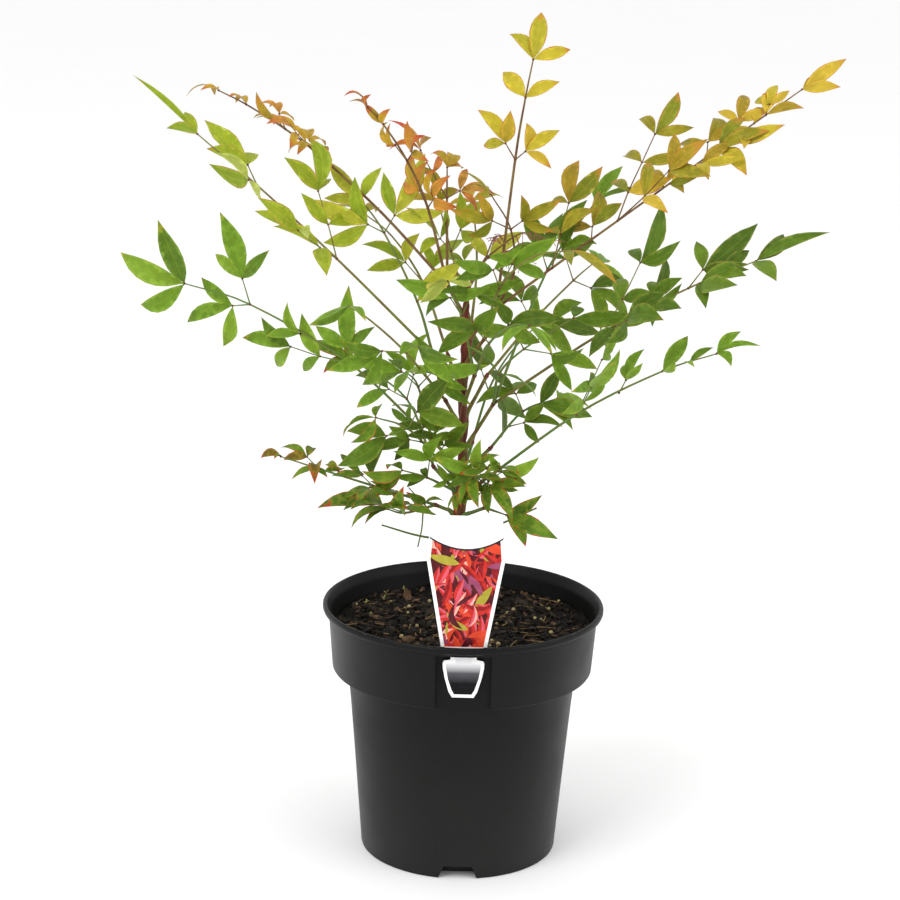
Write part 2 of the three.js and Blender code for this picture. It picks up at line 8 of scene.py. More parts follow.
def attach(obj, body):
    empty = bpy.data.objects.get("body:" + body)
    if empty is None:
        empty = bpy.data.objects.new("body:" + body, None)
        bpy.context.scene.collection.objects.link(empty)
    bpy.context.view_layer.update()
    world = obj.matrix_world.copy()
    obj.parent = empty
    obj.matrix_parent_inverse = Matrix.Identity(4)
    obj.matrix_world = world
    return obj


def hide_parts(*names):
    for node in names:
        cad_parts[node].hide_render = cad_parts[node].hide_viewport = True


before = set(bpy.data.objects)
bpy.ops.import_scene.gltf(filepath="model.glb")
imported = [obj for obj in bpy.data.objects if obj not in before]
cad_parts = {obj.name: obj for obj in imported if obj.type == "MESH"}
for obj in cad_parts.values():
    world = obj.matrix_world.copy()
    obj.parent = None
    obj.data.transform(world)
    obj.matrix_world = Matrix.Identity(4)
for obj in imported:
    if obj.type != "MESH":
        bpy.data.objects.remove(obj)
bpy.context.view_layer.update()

MM = 0.001


# Studio -------------------------------------------------------------------------
# A white room: a pale matt floor that runs far back, even white light from all round
# and two wide soft lamps. The long lens stands a step off and looks down on the rim.

CAMERA_PLACE = Vector((-10.97, -1537.6, 683.8)) * MM
CAMERA_DIP = math.radians(15.02)
CAMERA_ROLL = math.radians(1.29)
CAMERA_LENS = 98.46
SENSOR_WIDTH = 36
FAR_END = 100
SURROUND = 1.0
# Lamps: place and size in metres, power in watts.
LAMPS = {
    "lamp_left": ((-1.6, -1.7, 2.1), 1.6, 34),
    "lamp_right": ((1.9, -1.0, 1.4), 1.8, 14),
}
LAMP_AIM = Vector((0, 0, 0.3))
FLOOR_SIZE = 40
FLOOR_WHITE = (0.95, 0.95, 0.95)
FLOOR_PALE = (0.97, 0.97, 0.97)

bpy.ops.object.select_all(action="DESELECT")
bpy.ops.object.camera_add()
camera = bpy.context.object
camera.name = "camera"
camera.data.lens = CAMERA_LENS
camera.data.sensor_width = SENSOR_WIDTH
camera.data.clip_end = FAR_END
camera.matrix_world = (
    Matrix.Translation(CAMERA_PLACE)
    @ Matrix.Rotation(math.pi / 2 - CAMERA_DIP, 4, "X")
    @ Matrix.Rotation(CAMERA_ROLL, 4, "Z")
)
bpy.context.scene.camera = camera
bpy.context.scene.view_settings.view_transform = "Standard"

surround = bpy.data.worlds.new("white_room")
bpy.context.scene.world = surround
surround.use_nodes = True
room_light = surround.node_tree.nodes["Background"]
room_light.inputs["Color"].default_value = (1, 1, 1, 1)
room_light.inputs["Strength"].default_value = SURROUND

for name, (place, size, power) in LAMPS.items():
    bpy.ops.object.light_add(type="AREA", location=place)
    lamp = bpy.context.object
    lamp.name = name
    lamp.data.size = size
    lamp.data.energy = power
    lamp.rotation_euler = (LAMP_AIM - Vector(place)).to_track_quat("-Z", "Y").to_euler()


def add_node(tree, kind, settings, inputs):
    """A shader node with its settings and inputs; an input is a value or the output that feeds it."""
    made = tree.nodes.new("ShaderNode" + kind)
    for name, value in settings.items():
        setattr(made, name, value)
    for key, value in inputs.items():
        if isinstance(value, bpy.types.NodeSocket):
            tree.links.new(value, made.inputs[key])
        else:
            made.inputs[key].default_value = value
    return made.outputs[0]


def new_finish(name, roughness, shine):
    """A material with its shader and its Object coordinates."""
    finish = bpy.data.materials.new(name)
    finish.use_nodes = True
    nodes = finish.node_tree.nodes
    shader = nodes["Principled BSDF"]
    shader.inputs["Roughness"].default_value = roughness
    shader.inputs["Specular IOR Level"].default_value = shine
    return finish, shader, nodes.new("ShaderNodeTexCoord").outputs["Object"]


def grain(place, size, detail=3, stretch=(1, 1, 1)):
    """Noise whose spots are about size metres across, stretched along each axis."""
    tree = place.id_data
    scaled = add_node(tree, "Mapping", {}, {"Vector": place, "Scale": [1 / k for k in stretch]})
    return add_node(tree, "TexNoise", {}, {"Vector": scaled, "Scale": 1 / size, "Detail": detail})


def tinted(share, first, second):
    """The first colour turned into the second by a share from 0 to 1; a colour may be an output."""
    tree = share.id_data
    mix = tree.nodes.new("ShaderNodeMix")
    mix.data_type = "RGBA"
    for index, value in ((0, share), (6, first), (7, second)):
        if isinstance(value, bpy.types.NodeSocket):
            tree.links.new(value, mix.inputs[index])
        else:
            mix.inputs[index].default_value = (*value, 1) if index else value
    return mix.outputs[2]


def feed(shader, socket, value):
    """Lets an output drive one of the shader's sockets."""
    value.id_data.links.new(value, shader.inputs[socket])


bpy.ops.mesh.primitive_plane_add(size=FLOOR_SIZE)
floor = bpy.context.object
floor.name = "floor"
floor_finish, shader, place = new_finish("floor_paint", 0.9, 0.1)
feed(shader, "Base Color", tinted(grain(place, 0.4), FLOOR_WHITE, FLOOR_PALE))
floor.data.materials.append(floor_finish)


# Pot ----------------------------------------------------------------------------
# A nursery pot, injection moulded in charcoal polypropylene: a tapered body, a thicker
# collar with a rolled lip, a recess with a slotted shelf for the label, arches in the foot.

POT_SIDES = 200
# The wall's section, radius and height: the underside, up the outside, over the lip, down inside.
POT_RINGS = [
    (57, 0.9), (58.4, 0.7), (59.2, 0), (63.9, 0), (64.6, 0.3), (64.9, 1.1),
    (70.1, 66), (73.1, 101), (75.2, 121.5), (75.7, 122.9), (76.6, 123.6), (83.4, 123.7),
    (84.8, 124.2), (85.5, 125.3), (88.3, 161.6), (88.8, 162.8), (90.9, 163.3),
    (91.8, 164), (92.2, 165), (92.2, 166.7), (91.8, 167.6), (91.2, 168), (90.3, 168),
    (89.6, 167.5), (89.1, 166.4), (87.4, 163.6), (86.4, 160.6), (83.6, 127.6), (82.8, 126.3),
    (74.6, 125.5), (73.4, 124.6), (71.2, 101), (68.2, 66), (63, 4), (62, 3),
]
OUTSIDE_Y = -95
PANEL_X = 0.5
PANEL_HALF = 17.6
PANEL_Y = -79.5
RECESS_LOW_Z = 122
LEDGE_Z = 161
# The label's seat lines the recess, a little proud of its back, and bears the shelf and its slot.
SEAT_WALL = 2
SEAT_LOW_Z = 123.8
SEAT_TOP_Z = 164.2
SEAT_PROUD = 0.2
SEAT_RINGS = [
    (82.8, 120), (82.8, 123.9), (84.3, 124.4), (85.1, 125.5), (87.9, 161.6), (88.6, 163), (88.6, 170),
]
SLOT_HALF = 13.6
SLOT_REACH = 1
LABEL_Y = -82
# The arches in the foot, each under a hood that keeps the mix back.
ARCH_TURNS = [index * 2 * math.pi / 3 for index in range(3)]
ARCH_LOW = (-13, -75, -1)
ARCH_HIGH = (13, -54, 9)
ARCH_SHOULDER = 0.7
ARCH_SHOULDER_Z = 5
HOOD_LOW = (-15, -63.4, 1)
HOOD_HIGH = (15, -52, 11)
POT_GREY = (0.0022, 0.0022, 0.0021)
POT_CLOUDED = (0.0036, 0.0036, 0.0035)
POT_WORN = (0.018, 0.018, 0.018)
# Dust with painted light from the floor: a paler grey low on the body, fading out upward to the collar, so
# the body is left darker under the collar as painted shade.
POT_DUST_AND_FLOOR_LIGHT = (0.0135, 0.0133, 0.013)
LIP_WEAR_Z = (0.1665, 0.168)
DUST_AND_FLOOR_LIGHT_Z = (0.01, 0.125)


def place_piece(piece, node):
    """Puts a finished piece on the plant's one body in place of its solid."""
    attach(piece, "root")
    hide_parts(node)


def spread(value, low, high, to_low=0.0, to_high=1.0):
    """Maps the range low to high onto another, and holds it there."""
    ends = {"From Min": low, "From Max": high, "To Min": to_low, "To Max": to_high}
    return add_node(value.id_data, "MapRange", {}, {"Value": value, **ends})


def worked(operation, first, second=0):
    """One step of arithmetic on an output and another output or a number."""
    return add_node(first.id_data, "Math", {"operation": operation}, {0: first, 1: second})


def height_of(place):
    """The height of each place, in metres."""
    return add_node(place.id_data, "SeparateXYZ", {}, {"Vector": place}).node.outputs["Z"]


def relief(shader, height, depth, strength=1.0):
    """Raises the surface by the height, depth metres at most."""
    inputs = {"Strength": strength, "Distance": depth, "Height": height}
    feed(shader, "Normal", add_node(height.id_data, "Bump", {}, inputs))


def face_outward():
    """Turns the faces of the piece in edit mode outward, and leaves edit mode."""
    bpy.ops.mesh.select_all(action="SELECT")
    bpy.ops.mesh.normals_make_consistent(inside=False)
    bpy.ops.object.mode_set(mode="OBJECT")


def turned(name, rings, sides):
    """A round piece: a disc drawn up through rings of (radius, height), in millimetres."""
    radius, height = rings[0]
    bpy.ops.object.select_all(action="DESELECT")
    bpy.ops.mesh.primitive_circle_add(
        vertices=sides, radius=radius * MM, fill_type="NGON", location=(0, 0, height * MM)
    )
    piece = bpy.context.object
    piece.name = name
    bpy.ops.object.transform_apply()
    bpy.ops.object.mode_set(mode="EDIT")
    bpy.ops.mesh.select_all(action="SELECT")
    for wide, high in rings[1:]:
        rise = (0, 0, (high - height) * MM)
        bpy.ops.mesh.extrude_region_move(TRANSFORM_OT_translate={"value": rise})
        grow = wide / radius
        bpy.ops.transform.resize(value=(grow, grow, 1), center_override=(0, 0, high * MM))
        radius, height = wide, high
    face_outward()
    return piece


def block(name, low, high):
    """A box between two corners in millimetres."""
    bpy.ops.object.select_all(action="DESELECT")
    middle = (Vector(low) + Vector(high)) / 2 * MM
    bpy.ops.mesh.primitive_cube_add(size=1, location=middle)
    piece = bpy.context.object
    piece.name = name
    piece.scale = (Vector(high) - Vector(low)) * MM
    bpy.ops.object.transform_apply()
    return piece


def combine(piece, other, operation):
    """Joins the other solid to the piece, or cuts it away, and removes it."""
    bpy.context.view_layer.objects.active = piece
    joint = piece.modifiers.new("joint", "BOOLEAN")
    joint.operation = operation
    joint.object = other
    joint.solver = "EXACT"
    bpy.ops.object.modifier_apply(modifier=joint.name)
    bpy.data.objects.remove(other)


def take_up(piece):
    """Selects one piece alone."""
    bpy.ops.object.select_all(action="DESELECT")
    piece.select_set(True)
    bpy.context.view_layer.objects.active = piece


def smooth_faces(piece, angle=35):
    """Shades a piece smooth, but for its edges sharper than an angle."""
    take_up(piece)
    bpy.ops.object.shade_smooth_by_angle(angle=math.radians(angle))


def foot_block(name, low, high, turn, top=1.0):
    """A box at the foot, narrowed at its top and carried round the pot's axis."""
    piece = block(name, low, high)
    for corner in piece.data.vertices:
        if corner.co.z > ARCH_SHOULDER_Z * MM:
            corner.co.x *= top
    piece.data.transform(Matrix.Rotation(turn, 4, "Z"))
    return piece


pot = turned("pot_body", POT_RINGS, POT_SIDES)
recess_low = (PANEL_X - PANEL_HALF, OUTSIDE_Y, RECESS_LOW_Z)
combine(pot, block("recess", recess_low, (PANEL_X + PANEL_HALF, PANEL_Y, LEDGE_Z)), "DIFFERENCE")
for turn in ARCH_TURNS:
    combine(pot, foot_block("hood", HOOD_LOW, HOOD_HIGH, turn), "UNION")
    combine(pot, foot_block("arch", ARCH_LOW, ARCH_HIGH, turn, ARCH_SHOULDER), "DIFFERENCE")

seat_left = PANEL_X - PANEL_HALF - SEAT_WALL
seat_right = PANEL_X + PANEL_HALF + SEAT_WALL
seat_high = (seat_right, PANEL_Y + SEAT_WALL, SEAT_TOP_Z)
seat = block("label_seat", (seat_left, OUTSIDE_Y, SEAT_LOW_Z), seat_high)
opening_low = (seat_left + SEAT_WALL, OUTSIDE_Y - 1, RECESS_LOW_Z - 2)
opening_high = (seat_right - SEAT_WALL, PANEL_Y - SEAT_PROUD, LEDGE_Z)
combine(seat, block("opening", opening_low, opening_high), "DIFFERENCE")
combine(seat, turned("envelope", SEAT_RINGS, POT_SIDES), "INTERSECT")
slot_low = (PANEL_X - SLOT_HALF, LABEL_Y - SLOT_REACH, LEDGE_Z - 1)
slot_high = (PANEL_X + SLOT_HALF, LABEL_Y + SLOT_REACH, LEDGE_Z + 5)
combine(seat, block("slot", slot_low, slot_high), "DIFFERENCE")

pot_finish, shader, place = new_finish("charcoal_plastic", 0.5, 0.155)
cloudy = grain(place, 0.035, 4)
scuffs = grain(place, 0.004, 5, (1, 1, 6))
height = height_of(place)
lip_wear = worked("MULTIPLY", spread(height, *LIP_WEAR_Z), spread(scuffs, 0.5, 0.7))
scuffed = worked("MULTIPLY", spread(scuffs, 0.64, 0.74), 0.16)
worn = worked("MAXIMUM", lip_wear, scuffed)
# Dust with painted light: paler towards the foot, where the floor lights the body, and darker up under the
# collar, where its shade falls.
low_down = spread(height, *DUST_AND_FLOOR_LIGHT_Z, 1, 0)
dust_and_floor_light = worked("MULTIPLY", low_down, spread(cloudy, 0.25, 0.75, 0.75, 1))
body_grey = tinted(spread(cloudy, 0.3, 0.7, 0, 0.5), POT_GREY, POT_CLOUDED)
body_grey = tinted(dust_and_floor_light, body_grey, POT_DUST_AND_FLOOR_LIGHT)
feed(shader, "Base Color", tinted(worn, body_grey, POT_WORN))
feed(shader, "Roughness", spread(cloudy, 0.3, 0.7, 0.36, 0.48))
relief(shader, grain(place, 0.0007, 2), 0.00012, 0.6)

for piece in (pot, seat):
    piece.data.materials.append(pot_finish)
    smooth_faces(piece)
    place_piece(piece, "pot")


# Potting mix --------------------------------------------------------------------
# Composted bark and peat, dark and damp, filled to a little under the lip and left uneven.
# On it lie loose bark chips and lumps, a few straws and pale round beads of slow feed, and
# a few small seedlings have come up near the wall.

SOIL_Z = 152
SOIL_R = 84.9
SOIL_SIDES = 180
SOIL_STEPS = 62
SOIL_FOOT_RINGS = [(61, 4), (72.2, 125.2), (82.6, 128)]
BEHIND_SEAT_LOW = (-20, OUTSIDE_Y, 100)
BEHIND_SEAT_HIGH = (21, PANEL_Y + 2.5, 170)
POCKET_LOW = (-16, -75, -1)
POCKET_HIGH = (16, -51, 12)
SOIL_COLOURS = {
    "mix_peat": (0.006, 0.0045, 0.003),
    "mix_bark": (0.021, 0.0155, 0.01),
    "mix_red_bark": (0.08, 0.045, 0.025),
    "mix_straw": (0.17, 0.11, 0.05),
    "mix_bead": (0.3, 0.25, 0.12),
    "mix_seedling": (0.19, 0.175, 0.06),
}
CHIP_COUNT = 2300
CHIP_GRADES = [0.8, 1.5, 2.6]
# A chip's sections: share of its length from the middle, and how wide it is there.
CHIP_SECTIONS = ((-0.5, 0.45), (-0.15, 1), (0.2, 0.95), (0.5, 0.4))
CHIP_SIDES = 5
STRAW_COUNT = 90
STRAW_RINGS = 6
STRAW_SIDES = 5
LUMP_COUNT = 34
LUMP_SHAPE = (1.35, 0.8, 0.55)
BEAD_COUNT = 36
SEEDLING_PLACES = [(-52, 58), (-53, 45), (-55, 24), (-66, 36), (-61, 10), (-40, 66), (-48, 36)]
SEEDLING_R = 0.28
SEEDLING_LEAF_TURNS = (0, 2.6, 4.1)
# A whole turn in radians, and a little over.
FULL_TURN = 6.3
# Loose pieces keep off the wall, the label's seat and the cane.
LOOSE_R = 82
SEAT_CLEAR_HALF = 20
SEAT_CLEAR_Y = -75
CANE_X = -5
CANE_CLEAR = 5


def mix_finish(name, colour):
    """A crumbly, damp finish, blotched darker and paler than its colour."""
    finish, shader, place = new_finish(name, 0.85, 0.12)
    blotch = grain(place, 0.006, 5)
    crumb = grain(place, 0.0012, 4)
    dark = tuple(0.45 * part for part in colour)
    light = tuple(min(1, 1.9 * part) for part in colour)
    feed(shader, "Base Color", tinted(spread(blotch, 0.3, 0.72), dark, light))
    feed(shader, "Roughness", spread(crumb, 0.3, 0.7, 0.6, 0.95))
    relief(shader, crumb, 0.0006)
    return finish


mix_finishes = {name: mix_finish(name, colour) for name, colour in SOIL_COLOURS.items()}
bark_mix = list(mix_finishes.values())[:3]


def soil_height(x, y):
    """How far the mix stands above its level, in millimetres, at a place on its surface."""
    broad = noise.noise(Vector((x / 45, y / 45, 3.1)))
    lumps = noise.fractal(Vector((x / 9, y / 9, 7.7)), 0.8, 2.1, 4)
    return 2.2 * broad + 1.1 * lumps


soil_rings = SOIL_FOOT_RINGS + [(SOIL_R, SOIL_Z)]
soil_rings += [(SOIL_R * (1 - step / SOIL_STEPS), SOIL_Z) for step in range(1, SOIL_STEPS)]
soil = turned("potting_mix", soil_rings, SOIL_SIDES)
for corner in soil.data.vertices:
    x, y, z = corner.co / MM
    if z > SOIL_Z - 0.5:
        corner.co.z = (SOIL_Z + soil_height(x, y)) * MM
combine(soil, block("behind_seat", BEHIND_SEAT_LOW, BEHIND_SEAT_HIGH), "DIFFERENCE")
for turn in ARCH_TURNS:
    combine(soil, foot_block("pocket", POCKET_LOW, POCKET_HIGH, turn), "DIFFERENCE")
soil.data.materials.append(mix_finishes["mix_peat"])
smooth_faces(soil, 60)
place_piece(soil, "soil")


class Heap:
    """Gathers small shapes, in millimetres, into the arrays of one mesh."""

    def __init__(self):
        self.points = []
        self.faces = []
        self.slots = []
        self.across = []
        self.count = 0

    def add(self, points, faces, slots, across=None):
        """Takes in a shape; its slots are one finish's number, or one for each face."""
        self.faces += [tuple(corner + self.count for corner in face) for face in faces]
        self.slots += [slots] * len(faces) if isinstance(slots, int) else slots
        self.points.append(np.asarray(points, float))
        self.across.append(np.zeros((len(points), 2)) if across is None else np.asarray(across))
        self.count += len(points)

    def make(self, name, finishes, smooth=True):
        """One object, with the places across and along each shape as its UV map."""
        mesh = bpy.data.meshes.new(name)
        mesh.from_pydata((np.vstack(self.points) * MM).tolist(), [], self.faces)
        for finish in finishes:
            mesh.materials.append(finish)
        mesh.polygons.foreach_set("material_index", self.slots)
        mesh.polygons.foreach_set("use_smooth", [smooth] * len(self.faces))
        corners = np.empty(len(mesh.loops), dtype=np.int32)
        mesh.loops.foreach_get("vertex_index", corners)
        layout = mesh.uv_layers.new(name="across_and_along")
        layout.data.foreach_set("uv", np.vstack(self.across)[corners].ravel())
        piece = bpy.data.objects.new(name, mesh)
        bpy.context.scene.collection.objects.link(piece)
        mesh.validate()
        mesh.update()
        return piece


def tube_faces(rings, sides):
    """Faces of a tube of rings, closed at both ends."""
    faces = []
    for ring in range(rings - 1):
        for side in range(sides):
            a = ring * sides + side
            b = ring * sides + (side + 1) % sides
            faces.append((a, b, b + sides, a + sides))
    faces.append(tuple(reversed(range(sides))))
    faces.append(tuple(range((rings - 1) * sides, rings * sides)))
    return faces


def turn_of(heading, rise, roll):
    """Axes of a small shape: along it, across it and up from it, as rows."""
    turn = Matrix.Rotation(heading, 3, "Z") @ Matrix.Rotation(-rise, 3, "Y")
    return np.array(turn @ Matrix.Rotation(roll, 3, "X")).T


def scatter(count, seed):
    """Places on the mix, clear of the wall, the label's seat and the cane."""
    draw = np.random.default_rng(seed)
    found = []
    while len(found) < count:
        x, y = draw.uniform(-LOOSE_R - 1, LOOSE_R + 1, 2)
        behind_label = abs(x - PANEL_X) < SEAT_CLEAR_HALF and y < SEAT_CLEAR_Y
        clear = math.hypot(x, y) < LOOSE_R and math.hypot(x - CANE_X, y) > CANE_CLEAR
        if clear and not behind_label:
            found.append((x, y))
    return found, draw


def lay(heap, points, faces, axes, spot, lift, slot):
    """Lays a small shape on the mix, turned to its axes and lifted a little."""
    x, y = spot
    level = soil_height(x, y) + lift
    heap.add(points @ axes + (x, y, SOIL_Z + level), faces, slot)


chips = Heap()
spots, draw = scatter(CHIP_COUNT, 11)
chip_kinds = draw.choice([0, 1, 2], CHIP_COUNT, p=[0.47, 0.41, 0.12])
for spot, kind in zip(spots, chip_kinds):
    coarse = draw.choice(CHIP_GRADES, p=[0.74, 0.2, 0.06])
    length = coarse * draw.uniform(1.6, 5.2)
    width = length * draw.uniform(0.35, 0.8)
    thick = coarse * draw.uniform(0.6, 1.8)
    axes = turn_of(draw.uniform(0, FULL_TURN), draw.normal(0, 0.28), draw.normal(0, 0.35))
    rings = []
    for share, narrow in CHIP_SECTIONS:
        for side in range(CHIP_SIDES):
            turn = side * 2 * math.pi / CHIP_SIDES + 0.4
            wide = narrow * draw.uniform(0.75, 1.15)
            rings.append((
                share * length * draw.uniform(0.85, 1.1),
                0.5 * width * wide * math.cos(turn),
                0.5 * thick * wide * math.sin(turn),
            ))
    faces = tube_faces(len(CHIP_SECTIONS), CHIP_SIDES)
    lay(chips, np.array(rings), faces, axes, spot, draw.uniform(0.1, 1.1), int(kind))
place_piece(chips.make("bark_chips", bark_mix, False), "soil")

straws = Heap()
spots, draw = scatter(STRAW_COUNT, 23)
for spot in spots:
    length = draw.uniform(5, 17)
    thick = draw.uniform(0.25, 0.55)
    axes = turn_of(draw.uniform(0, FULL_TURN), draw.normal(0.02, 0.13), 0)
    bend = draw.normal(0, 0.08) * length
    rings = []
    for step in range(STRAW_RINGS):
        share = step / (STRAW_RINGS - 1) - 0.5
        for side in range(STRAW_SIDES):
            turn = side * 2 * math.pi / STRAW_SIDES
            rings.append((
                share * length,
                bend * (1 - 4 * share * share) + thick * math.cos(turn),
                thick * math.sin(turn),
            ))
    faces = tube_faces(STRAW_RINGS, STRAW_SIDES)
    lay(straws, np.array(rings), faces, axes, spot, draw.uniform(0.9, 2.0), int(draw.random() < 0.45))
straw_finishes = [mix_finishes["mix_straw"], mix_finishes["mix_red_bark"]]
place_piece(straws.make("straws", straw_finishes), "soil")


def ball(radius, rings=5, sides=8):
    """Points and faces of a small ball, with a ring of tiny faces at each pole."""
    points = []
    for ring in range(rings + 1):
        rise = (ring / rings - 0.5) * math.pi * 0.97
        for side in range(sides):
            turn = side * 2 * math.pi / sides
            level = radius * math.cos(rise)
            points.append((level * math.cos(turn), level * math.sin(turn), radius * math.sin(rise)))
    return np.array(points), tube_faces(rings + 1, sides)


lumps = Heap()
spots, draw = scatter(LUMP_COUNT, 53)
for spot in spots:
    points, faces = ball(draw.uniform(1.8, 4.4), 6, 9)
    rough = np.array([noise.noise(Vector(point) * 0.5 + Vector((*spot, 0))) for point in points])
    points = points * (1 + 0.6 * rough[:, None]) * LUMP_SHAPE
    axes = turn_of(draw.uniform(0, FULL_TURN), draw.normal(0, 0.25), draw.normal(0, 0.3))
    lift = draw.uniform(0.3, 1.4)
    lay(lumps, points, faces, axes, spot, lift, int(draw.choice(3, p=[0.3, 0.45, 0.25])))
place_piece(lumps.make("bark_lumps", bark_mix), "soil")

seedlings = Heap()
draw = np.random.default_rng(61)
stem_ring = np.array([(math.cos(turn), math.sin(turn), 0) for turn in np.linspace(0, 5.03, 5)])
for x, y in SEEDLING_PLACES:
    foot = np.array((x, y, SOIL_Z + soil_height(x, y)))
    top = foot + (draw.normal(0, 0.8), draw.normal(0, 0.8), draw.uniform(1.5, 4.2))
    stem = [foot + SEEDLING_R * stem_ring, top + SEEDLING_R * stem_ring]
    seedlings.add(np.vstack(stem), tube_faces(2, 5), 0)
    heading = draw.uniform(0, FULL_TURN)
    for turn in SEEDLING_LEAF_TURNS:
        points, faces = ball(1, 5, 8)
        points = (points + (1, 0, 0)) * (draw.uniform(0.9, 1.5), 0.62, 0.2)
        seedlings.add(points @ turn_of(heading + turn, draw.uniform(0.1, 0.9), 0) + top, faces, 0)
place_piece(seedlings.make("seedlings", [mix_finishes["mix_seedling"]]), "soil")

beads = Heap()
spots, draw = scatter(BEAD_COUNT, 37)
for spot in spots:
    points, faces = ball(draw.uniform(0.9, 1.6))
    lay(beads, points, faces, np.eye(3), spot, 1.5, 0)
place_piece(beads.make("feed_beads", [mix_finishes["mix_bead"]]), "soil")


# Label --------------------------------------------------------------------------
# A stiff printed tag, die cut from white polypropylene sheet. Its keystone tab is pushed
# down through the shelf's slot, and the shoulders of the tab hold it there. It is blank
# above; below the black arc it carries a plain pattern of loose red and gold leaf shapes.

# Depths in y of the card's back and front and of the white film on it.
CARD_BACK = -81.6
CARD_FRONT = -82
FILM_FRONT = -82.4
# The right half of the card, x and z from its middle at the top: head, sides, shoulders, tab.
CARD_HALF = [
    (21, 251.4), (22.1, 249), (22.6, 245), (24.4, 223), (14.2, 164.5), (8.2, 164.5),
    (8.2, 157.4), (12.4, 156.6), (13.1, 155), (12.9, 151.6), (11.6, 145), (9, 136), (6.8, 132.3),
]
CARD_SIDE = CARD_HALF[4::-1]
CARD_HEAD = CARD_HALF[:3]
TAB_HALF = CARD_HALF[5:]
TAB_FIELD_HALF = [
    (6.6, 163.8), (5.2, 158), (4.9, 155.2), (10.9, 154.6), (10.8, 151.6), (9.6, 144.5),
    (7.2, 137.2), (5.5, 134.3),
]
TAB_FIELD_SHIFT = 0.4
BORDER = 2.3
BEND_Z = 223
FOOT_Z = 164.6
FOOT_LINE_Z = (165.9, 164)
CAP_INNER_Z = 236.4
FIELD_TOP_Z = 236
ARC_END_Z = 238
ARC_LOW_Z = 230.2
ARC_WIDTH = 1.1
TAB_BLACK = (0.003, 0.003, 0.004)
TAB_GREY = (0.1, 0.1, 0.11)
TAB_WHITE = (0.78, 0.78, 0.79)
FADE_GREY_Z = (0.1415, 0.1495)
FADE_WHITE_Z = (0.1485, 0.1545)
PRINT_DEEP = (0.07, 0.004, 0.006)
PRINT_SHADES = {
    "print_crimson": (0.22, 0.006, 0.008),
    "print_red": (0.46, 0.018, 0.012),
    "print_rose": (0.58, 0.08, 0.11),
    "print_blush": (0.8, 0.36, 0.28),
    "print_maroon": (0.07, 0.004, 0.008),
    "print_scarlet": (0.6, 0.05, 0.015),
    "print_mauve": (0.26, 0.05, 0.11),
    "print_olive": (0.34, 0.29, 0.03),
}
SHADE_SHARES = [0.22, 0.27, 0.1, 0.07, 0.12, 0.12, 0.05, 0.05]
PRINT_LEAVES = 170
PRINT_STEPS = 8
PRINT_LEANS = (1.1, 2.3)
PRINT_EDGE = 1
PRINT_LOW_Z = 165
PRINT_TOP_Z = 240


def reflected(half):
    """The left half of an outline in x and z from its right half, read back up."""
    return [(-x, z) for x, z in reversed(half)]


def mirrored(half):
    """A closed outline in x and z from its right half, read from the top down."""
    return half + reflected(half)


def sheet_cut(name, outline, back, front, finish):
    """A flat piece of an outline in x and z about the panel's middle, between two depths in y."""
    bpy.ops.object.select_all(action="DESELECT")
    bpy.ops.mesh.primitive_circle_add(vertices=len(outline), radius=0.01, fill_type="NGON")
    piece = bpy.context.object
    piece.name = name
    for corner, (x, z) in zip(piece.data.vertices, outline):
        corner.co = Vector((PANEL_X + x, back, z)) * MM
    bpy.ops.object.mode_set(mode="EDIT")
    bpy.ops.mesh.select_all(action="SELECT")
    bpy.ops.mesh.extrude_region_move(TRANSFORM_OT_translate={"value": (0, (front - back) * MM, 0)})
    face_outward()
    piece.data.materials.append(finish)
    place_piece(piece, "label")


def card_grain(shader, place):
    """The faint tooth of the sheet."""
    relief(shader, grain(place, 0.0016, 2), 0.00004, 0.3)


def print_finish(name, colour, sheen=0.32):
    """Ink on the sheet, a little uneven."""
    finish, shader, place = new_finish(name, sheen, 0.15)
    soft = grain(place, 0.004)
    light = tuple(min(1, 1.25 * part + 0.01) for part in colour)
    feed(shader, "Base Color", tinted(spread(soft, 0.35, 0.7), colour, light))
    feed(shader, "Roughness", spread(grain(place, 0.012), 0.3, 0.7, sheen, sheen + 0.1))
    card_grain(shader, place)
    return finish


card_white = print_finish("card_white", (0.86, 0.86, 0.85))
arc_black = print_finish("arc_black", (0.012, 0.012, 0.014))
tab_fade, shader, place = new_finish("tab_fade", 0.35, 0.12)
height = height_of(place)
cloud = spread(grain(place, 0.004), 0.3, 0.7, -0.03, 0.03)
to_grey = worked("ADD", spread(height, *FADE_GREY_Z), cloud)
fade = tinted(to_grey, TAB_BLACK, TAB_GREY)
feed(shader, "Base Color", tinted(spread(height, *FADE_WHITE_Z), fade, TAB_WHITE))
card_grain(shader, place)

sheet_cut("label_card", mirrored(CARD_HALF), CARD_BACK, CARD_FRONT, card_white)


def half_width(z):
    """Half the card's width at a height above the shelf."""
    return float(np.interp(z, [row[1] for row in CARD_SIDE], [row[0] for row in CARD_SIDE]))


def arc_height(x, lower=0.0):
    """The arc's edge: a shallow bow that hangs below its two ends."""
    end = half_width(ARC_END_Z)
    return ARC_LOW_Z - lower + (ARC_END_Z - ARC_LOW_Z) * (x / end) ** 2


def arc_points(lower, inset=0.0, steps=24):
    """Points along the arc from right to left."""
    end = half_width(ARC_END_Z) - inset
    return [(x, arc_height(x, lower)) for x in np.linspace(end, -end, steps + 1)]


def side_points(heights, inset=0.0):
    """Points on the card's right side at some heights, set in by so much."""
    return [(half_width(z) - inset, z) for z in heights]


cap_right = CARD_HEAD + side_points((ARC_END_Z, BEND_Z, FOOT_Z))
cap_right += side_points((FOOT_Z, BEND_Z, CAP_INNER_Z), BORDER)
cap_outline = cap_right + arc_points(0, BORDER)[1:-1] + reflected(cap_right)
sheet_cut("label_border", cap_outline, CARD_FRONT, FILM_FRONT, card_white)

arc_outline = arc_points(0, 0.1) + arc_points(ARC_WIDTH, 0.6)[::-1]
sheet_cut("label_arc", arc_outline, CARD_FRONT, FILM_FRONT - 0.03, arc_black)

